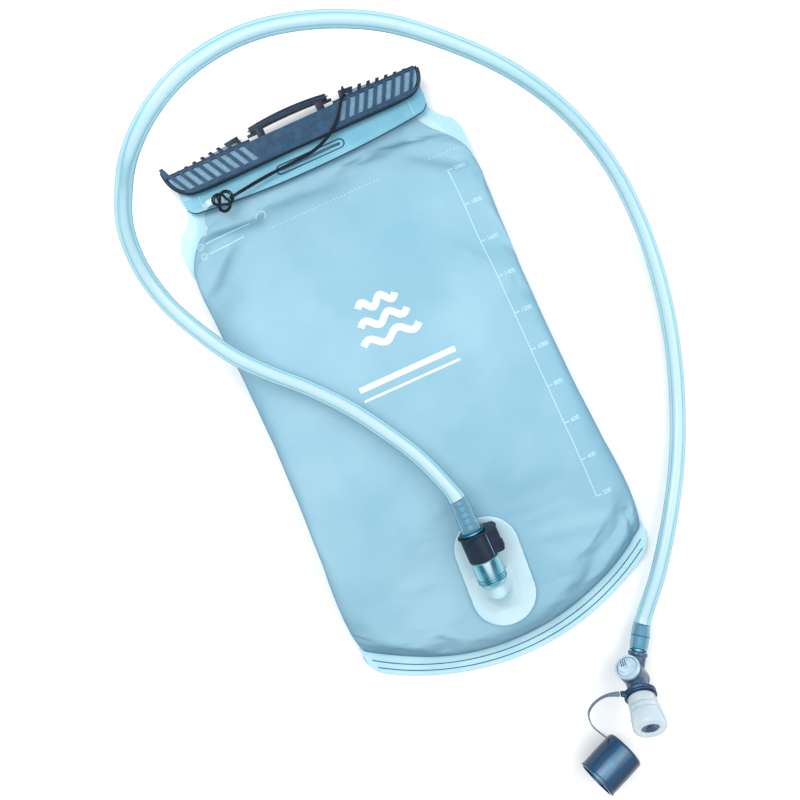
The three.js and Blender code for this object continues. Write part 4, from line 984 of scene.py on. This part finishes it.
def port_body():
    """The flange with its rounded tunnel, and the clear socket in front of it."""
    face = -AXIS_HEIGHT
    reach, width = HUMP["reach"], HUMP["width"]
    turn = Matrix.Translation((FLANGE["x"], 0, 0)) @ Matrix.Rotation(pi / 2 + FLANGE["turn"], 4, "Z")
    oval = stadium(FLANGE["half_length"], FLANGE["half_width"], 40)
    plate = moved(prism(oval, face - FLANGE["thick"], face), turn)
    foot = exp(-(reach / width) ** 2)
    hump = []
    for k in range(27):
        y = 0.5 - k
        rise = (HUMP["top"] - face) * (1 - ease_in(-y, 10.4, 25.5)) ** 1.5 / (1 - foot)
        xs = [reach * (i / 16 - 1) for i in range(33)]
        crown = [(x, y, face - 0.4 + rise * (exp(-(x / width) ** 2) - foot)) for x in xs]
        hump.append(crown + [(reach, y, face - 0.9), (-reach, y, face - 0.9)])
    cavity = lathe([(0, -10.4), (3.8, -10.4), (3.8, -5.2), (4.6, -5.2), (4.6, 1), (0, 1)])
    flange = moulded("port_moulding", [plate, loft(hump)], PORT, PORT_CLEAR, 0.5, 10, [cavity])
    place(flange, *ON_BAG, "port_body")
    barrel = [(5.4, -3.6), (6.2, -3.6), (7.4, -2.4), (8.2, -0.6), (8.65, 0.6), (8.65, 13.5), (6.6, 13.7),
              (6.6, 24.4), (5.4, 24.4), (5.4, -3.6)]
    build("socket_barrel", [turned(barrel, 0.4)], PORT, BARREL_CLEAR, *ON_BAG)
    rings = [lathe(ring_profile(8.55, 0.3, y, 8)) for y in (0.4, 1.7, 3.1)]
    build("socket_rings", rings, PORT, TEAL, "reservoir", "teal_plastic")


def port_collar():
    """The dark collar with the button's housing on its right."""
    def plate(half_length, half_height, thick, x, y):
        return shifted(about_z(prism(stadium(half_length, half_height, 30), 0, thick)), x, y)
    tube = turned([(0, 13.9), (8.2, 13.9), (8.7, 14.6), (8.6, 30.5), (0, 30.5)], 0.4)
    housing = prism([(3, 15.8), (12.4, 15.8), (13.7, 17.2), (13.7, 30.5), (3, 30.5)], -7.7, 7.7)
    cuts = [lathe([(0, 12), (6.9, 12), (6.9, 29.3), (5.5, 29.3), (5.5, 33), (0, 33)]),
            box((8.2, 15.7, -6.3), (16, 29.5, 6.3)), plate(9.7, 6.3, 2.4, 1.6, 27.3)]
    lip = plate(12.1, 9.5, 1.15, 2.55, 30.75)
    collar = moulded("collar", [tube, housing, lip], PORT, NAVY, 0.32, 4, cuts)
    place(collar, "reservoir", "navy_plastic", "port_collar")
    # Painted highlight: a light strip along the step between the collar and the button's housing.
    painted_shading_line = box((6.3, 15.4, 7.6), (6.62, 30.2, 8.05))
    build("collar_seam_highlight", [painted_shading_line], PORT, GRIP_FLOOR, "reservoir", "navy_plastic")


def release_button():
    place(refined("button", "release_button", NAVY, 0.3), "button", "navy_plastic", "release_button")
    boss = turned([(0, 0), (2.6, 0), (2.6, 1.3), (1.5, 1.7), (0, 1.4)], 0.4, 40)
    build("button_boss", [shifted(about_x(boss), 12.9, 18.4)], PORT, NAVY, "button", "navy_plastic")


def seal(name, matrix, body, node, profile):
    """A rubber ring."""
    build(name, [profile], matrix, RUBBER, body, "seal", node)


def plug():
    profile = [(2.4, 3.6), (4.4, 3.6), (5, 4.2), (5, 7.7), (3.8, 7.7), (3.8, 9.3), (5, 9.3), (5, 24.9),
               (4.3, 24.9), (4.3, 27.3), (5, 27.7), (5, 31), (7.9, 31), (7.9, 32.2), (3.3, 32.2)]
    for barb in range(5):
        y = 32.2 + BARB_PITCH * barb
        profile += [(3.5, y + 0.2 * BARB_PITCH), (4.28, y + 0.32 * BARB_PITCH), (3.6, y + BARB_PITCH)]
    profile += [(3.2, 52), (2.4, 52), (2.4, 3.6)]
    build("plug", [turned(profile, 0.25, steps=2)], PORT, TEAL, "tube", "teal_plastic", "plug_body")
    seal("plug_ring", PORT, "tube", "plug_seal", lathe(ring_profile(4.5, 0.58, PLUG_SEAL_AT)))


def poppet():
    ribs = [box((-3.2, -3.7, -0.6), (3.2, 3.3, 0.6)), box((-0.6, -3.7, -3.2), (0.6, 3.3, 3.2))]
    valve = moulded("poppet", [cylinder(4.3, -4.8, -3.2, 0.3)] + ribs, PORT, TEAL, 0.25, 2)
    place(valve, "poppet", "teal_plastic", "shutoff_poppet")
    seal("poppet_ring", PORT, "poppet", "poppet_seal", lathe(ring_profile(3.8, 0.35, -2.75)))
    springs = [("poppet_coil", coil(3.3, 0.3, 3, -9.6, -5.5), "poppet_spring"),
               ("latch_coil", shifted(about_x(coil(1.8, 0.25, 3, 8.7, 11.25)), 0, 21), "latch_spring")]
    for name, shape, node in springs:
        spring = build(name, [shape], PORT, STEEL, "reservoir", "spring_steel", node)
    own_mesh(spring)


# ---------------------------------------------------------------- drink tube


def drink_tube():
    """The tube, stretched over the barbs at both ends, with its bore open."""
    def on(matrix, ys):
        return [matrix @ Vector((0, y, 0)) / MM for y in ys]
    path = curve_points(on(PORT, (32.5, 42, 53)) + TUBE_PATH + on(FITTING, (32, 24, 16.6)), TUBE["step"])
    run = np.cumsum([0] + [(b - a).length for a, b in zip(path, path[1:])])
    left = run[-1] - run
    outer = np.interp(run, [0, 1.2, 20, 26], [6, 6.25, 5.5, TUBE["radius"]])
    outer += np.where(run < 20, 0.12 * np.cos(run / BARB_PITCH * 2 * pi), 0)
    far_end = np.interp(left, [0, 1, 7, 8, 15, 19], [5.3, 5.45, 5.6, 5.7, 5.1, TUBE["radius"]])
    outer = np.maximum(outer, far_end)
    bore = np.interp(run, [0, 20, 24], [4.35, 4.3, TUBE["bore"]])
    bore = np.maximum(bore, np.interp(left, [0, 7.4, 15, 18], [4.75, 5, 4.2, TUBE["bore"]]))
    sides = TUBE["sides"]
    skin, skin_faces = rod(path, lambda i: float(outer[i]), sides)
    hollow, hollow_faces = rod(path, lambda i: float(bore[i]), sides)
    start, end, shift = list(range(sides)), list(range(len(skin) - sides, len(skin))), len(skin)
    faces = [f for f in skin_faces if len(f) == 4]
    faces += [tuple(i + shift for i in f[::-1]) for f in hollow_faces if len(f) == 4]
    faces += bridge([i + shift for i in start], start) + bridge(end, [i + shift for i in end])
    tube = make("tube", [(skin + hollow, faces)], ROW, TUBE_CLEAR)
    over_plug, over_fitting = (path[0] + path[4]) / 2, (path[-1] + path[-4]) / 2

    def pick(centre, _):
        return 1 if (centre - over_plug).length < 17 or (centre - over_fitting).length < 12 else 0
    paint(tube, [TUBE_STRETCHED], pick)
    place(smooth(tube, 60), "tube", "tube_clear", "drink_tube")


def tube_fitting():
    profile = [(2.2, 7.4), (3.7, 7.4), (3.7, 8.9), (2.8, 8.9), (2.8, 10.3), (3.7, 10.3), (3.7, 14.9),
               (5.2, 14.9), (5.2, 16.3), (3.2, 16.3), (4.55, 16.6), (4.7, 22.6), (4.85, 23.4),
               (4.9, 23.9), (4.75, 24.5), (3.95, 30.6), (2.9, 31), (2.2, 31), (2.2, 7.4)]
    fitting = turned(profile, 0.25, steps=2)
    build("fitting", [fitting], FITTING, TEAL, "tube", "teal_plastic", "tube_fitting")
    # Painted shade: dark rings at the barb edges.
    lines = [lathe(ring_profile(5.6, 0.2, 24.2, 8), 64), lathe(ring_profile(4.9, 0.14, 31.2, 8), 64)]
    build("fitting_shade_lines", lines, FITTING, PAINTED_SHADE_LINE, "tube", "teal_plastic")
    seal("fitting_ring", FITTING, "tube", "fitting_seal", lathe(ring_profile(3.35, 0.42, 9.6)))


# ---------------------------------------------------------------- bite valve


def valve_body():
    neck = turned([(0, 0), (6.5, 0), (6.5, 10.4), (8.5, 10.5), (8.5, 11.2), (7.4, 11.3), (7.4, 14.8),
                   (5.4, 14.9), (5.4, 24), (0, 24)], 0.25)
    inlet = turned([(0, 0), (5.3, 0), (5.3, 12.2), (5.95, 12.6), (5.95, 14.6), (0, 14.6)], 0.3)
    solids = [about_z(cylinder(7.5, -6.6, 8.4, 1)), neck, moved(inlet, VALVE.inverted() @ FITTING)]
    shell = moulded("valve_shell", solids, VALVE, VALVE_SLATE, 0.28, 4, [about_z(cylinder(4.9, -4.9, 14))])
    subtract(shell, [cylinder(3.2, 0, 26)], VALVE)
    subtract(shell, [lathe([(0, 0), (2.4, 0), (2.4, 7), (4, 7), (4, 16), (0, 16)])], FITTING)
    place(smooth(shell, 32), "valve", "slide_slate", "valve_body")


def shutoff_knob():
    """The knob: a rimmed disc with an offset grip and short ridges."""
    shaft = turned([(0, -4.6), (4.6, -4.6), (4.6, 6.4), (3.7, 6.5), (3.7, 7.6), (4.6, 7.7), (4.6, 9.6),
                    (0, 9.6)], 0.2)
    disc = turned([(0, 9.2), (7.3, 9.2), (7.75, 9.8), (7.75, 12.2), (7.3, 12.6), (6.6, 12.6), (6.4, 11.5),
                   (0, 11.5)], 0.35, 96)
    boss = turned([(0, 11), (4.4, 11), (4.2, 12.4), (3.6, 12.9), (0, 12.9)], 0.3, 64)
    ridges = [box((1.3 * k - 0.9, 12.4, 0.4), (1.3 * k - 0.3, 13.4, 4.6)) for k in range(4)]
    solids = [about_z(s) for s in [shaft, disc, shifted(boss, 1.3, 0, 1.3)] + ridges]
    place(moulded("knob", solids, VALVE, KNOB_GREY, 0.17, 3), "knob", "knob_grey", "shutoff_knob")
    # Painted shade: dark slate between the ridges and a dark ring in the corner of the disc's recess.
    marks = [box((1.3 * k - 0.25, 12.6, 0.6), (1.3 * k + 0.35, 13.05, 4.4)) for k in range(3)]
    marks.append(lathe(ring_profile(6.35, 0.22, 11.6, 8), 96))
    build("knob_groove_shade", [about_z(m) for m in marks], VALVE, VALVE_SLATE, "knob", "knob_grey")
    seal("rotor_ring", VALVE, "knob", "rotor_seal", about_z(lathe(ring_profile(4.26, 0.4, 7.1))))


def mouthpiece():
    """The silicone sheath, waisted by two grooves, and the slit disc in its end."""
    sheath = [(5.7, 15.2), (8.2, 15.2), (8.5, 16), (8.55, 19.6), (8.1, 20.3), (8.1, 20.9), (8.8, 21.6),
              (8.95, 23.4), (8.5, 24.1), (8.6, 24.8), (9.3, 25.6), (9.9, 31.5), (9.95, 34.2), (9.2, 35.6),
              (8.2, 36), (5.9, 36), (5.3, 35.4), (5.3, 33.2), (7.5, 33.2), (7.5, 24.4), (5.7, 24.4),
              (5.7, 15.2)]
    build("sheath", [turned(sheath, 0.45, 96)], VALVE, SILICONE, "valve", "silicone", "bite_sheath")
    disc = [(0, 31.2), (7.2, 31.2), (7.2, 32.9), (5, 32.9), (5, 34.9), (4.2, 35.2), (0, 33.6)]
    insert = make("insert", [turned(disc, 0.3)], VALVE, VALVE_SLATE)
    subtract(insert, [box((-2.75, 30, -0.35), (2.75, 37, 0.35))], VALVE)
    place(smooth(insert), "valve", "navy_plastic", "bite_insert")


# ---------------------------------------------------------------- cap and its tether

RING = {"inner": 7.7, "outer": 9.85, "y": (11.5, 14.6), "lug": 2.4}
STRAP_START = Vector(JOINTS["strap_bend"]["pos_m"]) / MM
STRAP_END = Vector(JOINTS["cap_tilt"]["pos_m"]) / MM
RING_CENTRE = Vector(JOINTS["tether_spin"]["pos_m"]) / MM
TO_STRAP = (STRAP_START - RING_CENTRE).normalized()
STRAP_PATH = [(30.5, -219.8, 27.5), (23.2, -221.8, 24.5), (17, -227.5, 20.5), (15.7, -236.5, 16.5)]


def tether_ring():
    low, high = RING["y"]
    inner, outer = RING["inner"], RING["outer"]
    profile = [(inner, low), (outer, low), (outer, low + 0.8), (outer - 0.5, low + 1.15),
               (outer - 0.5, high - 1.15), (outer, high - 0.8), (outer, high), (inner, high), (inner, low)]
    build("ring", [turned(profile, 0.25, 96, 3)], VALVE, CAP_BLUE, "ring", "cap_blue", "tether_ring")
    path = [RING_CENTRE + TO_STRAP * reach for reach in (outer - 0.8, outer + 0.8, outer + RING["lug"])]
    lug = ribbon(path, lambda t: 3.6, lambda t: 3 - 1.2 * t, MOUTH_AXIS)
    build("ring_lug", [lug], ROW, CAP_BLUE, "ring", "cap_blue")


def cap_strap():
    ends = [STRAP_END + CAP_SIDE * 4 + Vector((-1, 0, 0.3)), STRAP_END + CAP_SIDE * 0.25]
    path = curve_points([STRAP_START + TO_STRAP * 0.75] + STRAP_PATH + ends, 0.7)
    strap = ribbon(path, lambda t: 3.2, lambda t: 0.75 + 2 * exp(-(t / 0.13) ** 2), UP)
    build("strap", [strap], ROW, STRAP_GREY, "strap", "cap_blue", "cap_strap")


def dust_cap():
    radius, wall, half = CAP["radius"], CAP["wall"], CAP["length"] / 2
    profile = [(radius - inward, y) for inward, y in (
        (wall, -half), (0, -half), (0, 1.7 - half), (0.4, 2 - half), (0.25, 2.4 - half), (0.1, 0),
        (0.25, half - 1.6), (1.2, half - 0.3), (2.4, half), (radius, half), (radius, half - wall),
        (wall + 0.8, half - wall), (wall, half - wall - 1), (wall, -half))]
    cap = make("cap", [turned(profile, 0.3, 128, 3)], CAP_FRAME, CAP_BLUE)
    # Painted highlight: the open end's rim face is light.
    paint(cap, [CAP_RIM_HIGHLIGHT], lambda _, normal: 1 if normal.dot(CAP_AXIS) < -0.8 else 0)
    place(smooth(cap), "cap", "cap_blue", "dust_cap")


# ---------------------------------------------------------------- prints on the film


class Printer:
    """Lays thin printed shapes on the bag's front."""

    def __init__(self, bag_object):
        self.tree = BVHTree.FromObject(bag_object, bpy.context.evaluated_depsgraph_get())
        self.shapes = []

    def on_film(self, x, y, lift):
        """The point at a height above the film."""
        hit = self.tree.ray_cast(Vector((x, y, 100)) * MM, Vector((0, 0, -1)))[0]
        return x, y, (hit.z / MM if hit else 0) + lift

    def stroke(self, line, width):
        """A strip along a line of (x, y) points."""
        loops = []
        for point, side, _ in sweep_frames([(*p, 0) for p in line], UP):
            edges = [point + side * width * share for share in (0.5, 0.5, -0.5, -0.5)]
            lifts = (-PRINT_DEPTH, PRINT_LIFT, PRINT_LIFT, -PRINT_DEPTH)
            loops.append([self.on_film(edge.x, edge.y, lift) for edge, lift in zip(edges, lifts)])
        self.shapes.append(loft(loops))

    def segment(self, start, end, width, step=3.0):
        a, b = Vector(start), Vector(end)
        count = max(1, round((b - a).length / step))
        self.stroke([a.lerp(b, k / count) for k in range(count + 1)], width)

    def spot(self, x, y, radius, sides):
        ring = [(x + radius * cos(a), y + radius * sin(a)) for a in turns(sides)]
        loops = [[self.on_film(*p, lift) for p in ring] for lift in (-PRINT_DEPTH, PRINT_LIFT)]
        self.shapes.append(loft(loops))

    def numeral(self, text, x, y, size):
        """A number with its left end at (x, y)."""
        curve = bpy.data.curves.new("numeral", "FONT")
        curve.body, curve.size, curve.align_y = text, size * MM, "CENTER"
        curve.extrude = 0.12 * MM
        holder = add_object("numeral", curve)
        graph = bpy.context.evaluated_depsgraph_get()
        mesh = bpy.data.meshes.new_from_object(holder.evaluated_get(graph))
        points = [v.co / MM for v in mesh.vertices]
        points = [self.on_film(x + p.x, y + p.y, p.z + 0.04) for p in points]
        self.shapes.append((points, [tuple(face.vertices) for face in mesh.polygons]))
        bpy.data.objects.remove(holder)


def volume_scale(printer):
    x, top, pitch = SCALE["x"], SCALE["top"], SCALE["pitch"]
    bottom = top - pitch * (SCALE["count"] - 1)
    printer.segment((x, top), (x, bottom), 0.4)
    for i in range(SCALE["count"]):
        y = top - pitch * i
        printer.segment((x, y), (x + 3.4, y), 0.4, 1.5)
        printer.numeral(str(SCALE["full"] - SCALE["step"] * i), x + 4.6, y, 3.7)


def fill_line(printer):
    for start, end in FILL_LINE["spans"]:
        count = round((end - start) / FILL_LINE["pitch"])
        for k in range(count + 1):
            printer.spot(start + FILL_LINE["pitch"] * k, FILL_LINE["y"], 0.4, 8)


def steps_marks(printer):
    """Two numbered steps, each with a plain rule in place of words, and a fold arrow."""
    for y, number, length in ((129.5, "1", 30), (122.5, "2", 24)):
        ring = [(1.9 * cos(a) - 83, y + 1.9 * sin(a)) for a in turns(20) + [0.0]]
        printer.stroke(ring, 0.5)
        printer.numeral(number, -83.9, y, 2.8)
        printer.segment((-79, y), (-79 + length, y), 0.55)
    bend = [radians(12 * k - 60) for k in range(22)]
    arrow = [(3.2 * cos(a) - 41, 131 + 3.2 * sin(a)) for a in bend]
    printer.stroke(arrow, 0.5)


def waves(printer):
    """A plain mark of three waves over two rules."""
    for row, reach in enumerate((12, 15, 18)):
        y = 52 - 11 * row
        line = [(2 - reach + 2 * reach * k / 40, y + 2.6 * sin(2 * pi * k / 20)) for k in range(41)]
        printer.stroke(line, 4.2)
    printer.segment((-29, 7), (33, 7), 3.4)
    printer.segment((-29, 0), (33, 0), 1.4)


def prints(bag_object):
    for name, material, marks in (("scale_print", PRINT_FAINT, (volume_scale, fill_line, steps_marks)),
                                  ("wave_print", PRINT, (waves,))):
        printer = Printer(bag_object)
        for mark in marks:
            mark(printer)
        build(name, printer.shapes, ROW, material, "reservoir", "film")


# ---------------------------------------------------------------- studio


def studio():
    floor_look = plastic("floor", "fafbfc", "f7f9fa", (0.7, 0.8), 400, 30, 0.01)
    make("floor", [box((-3000, -3000, -12), (3000, 3000, -0.15))], ROW, floor_look)
    world = bpy.data.worlds.new("studio")
    world.use_nodes = True
    sky = world.node_tree.nodes["Background"].inputs
    sky[0].default_value = (0.97, 0.985, 1.0, 1.0)
    sky[1].default_value = 0.75
    SCENE.world = world
    for name, at, size, power in LIGHTS:
        light = add_object(name, bpy.data.lights.new(name, "AREA"))
        light.data.size, light.data.energy = size, power
        light.location = at
        light.rotation_euler = (-Vector(at)).to_track_quat("-Z", "Y").to_euler()
    camera = add_object("camera", bpy.data.cameras.new("camera"))
    camera.data.lens, camera.data.sensor_width = CAMERA["lens"], CAMERA["sensor"]
    camera.data.clip_start = 0.01
    camera.location = ROW @ Vector((CAMERA["x"], CAMERA["y"], CAMERA["z"]))
    camera.rotation_euler = (0, 0, CAMERA["turn"])
    SCENE.camera = camera
    SCENE.view_settings.view_transform = "Standard"


bag_object = bag()
bottom_weld()
shoulder_weld(-1, "shoulder_weld_left")
shoulder_weld(1, "shoulder_weld_right")
for make_piece in (mouth_flap, cord_tab, slide_closure, tether_cord, port_body, port_collar, release_button,
                   plug, poppet, drink_tube, tube_fitting, valve_body, shutoff_knob, mouthpiece, tether_ring,
                   cap_strap, dust_cap):
    make_piece()
prints(bag_object)
studio()
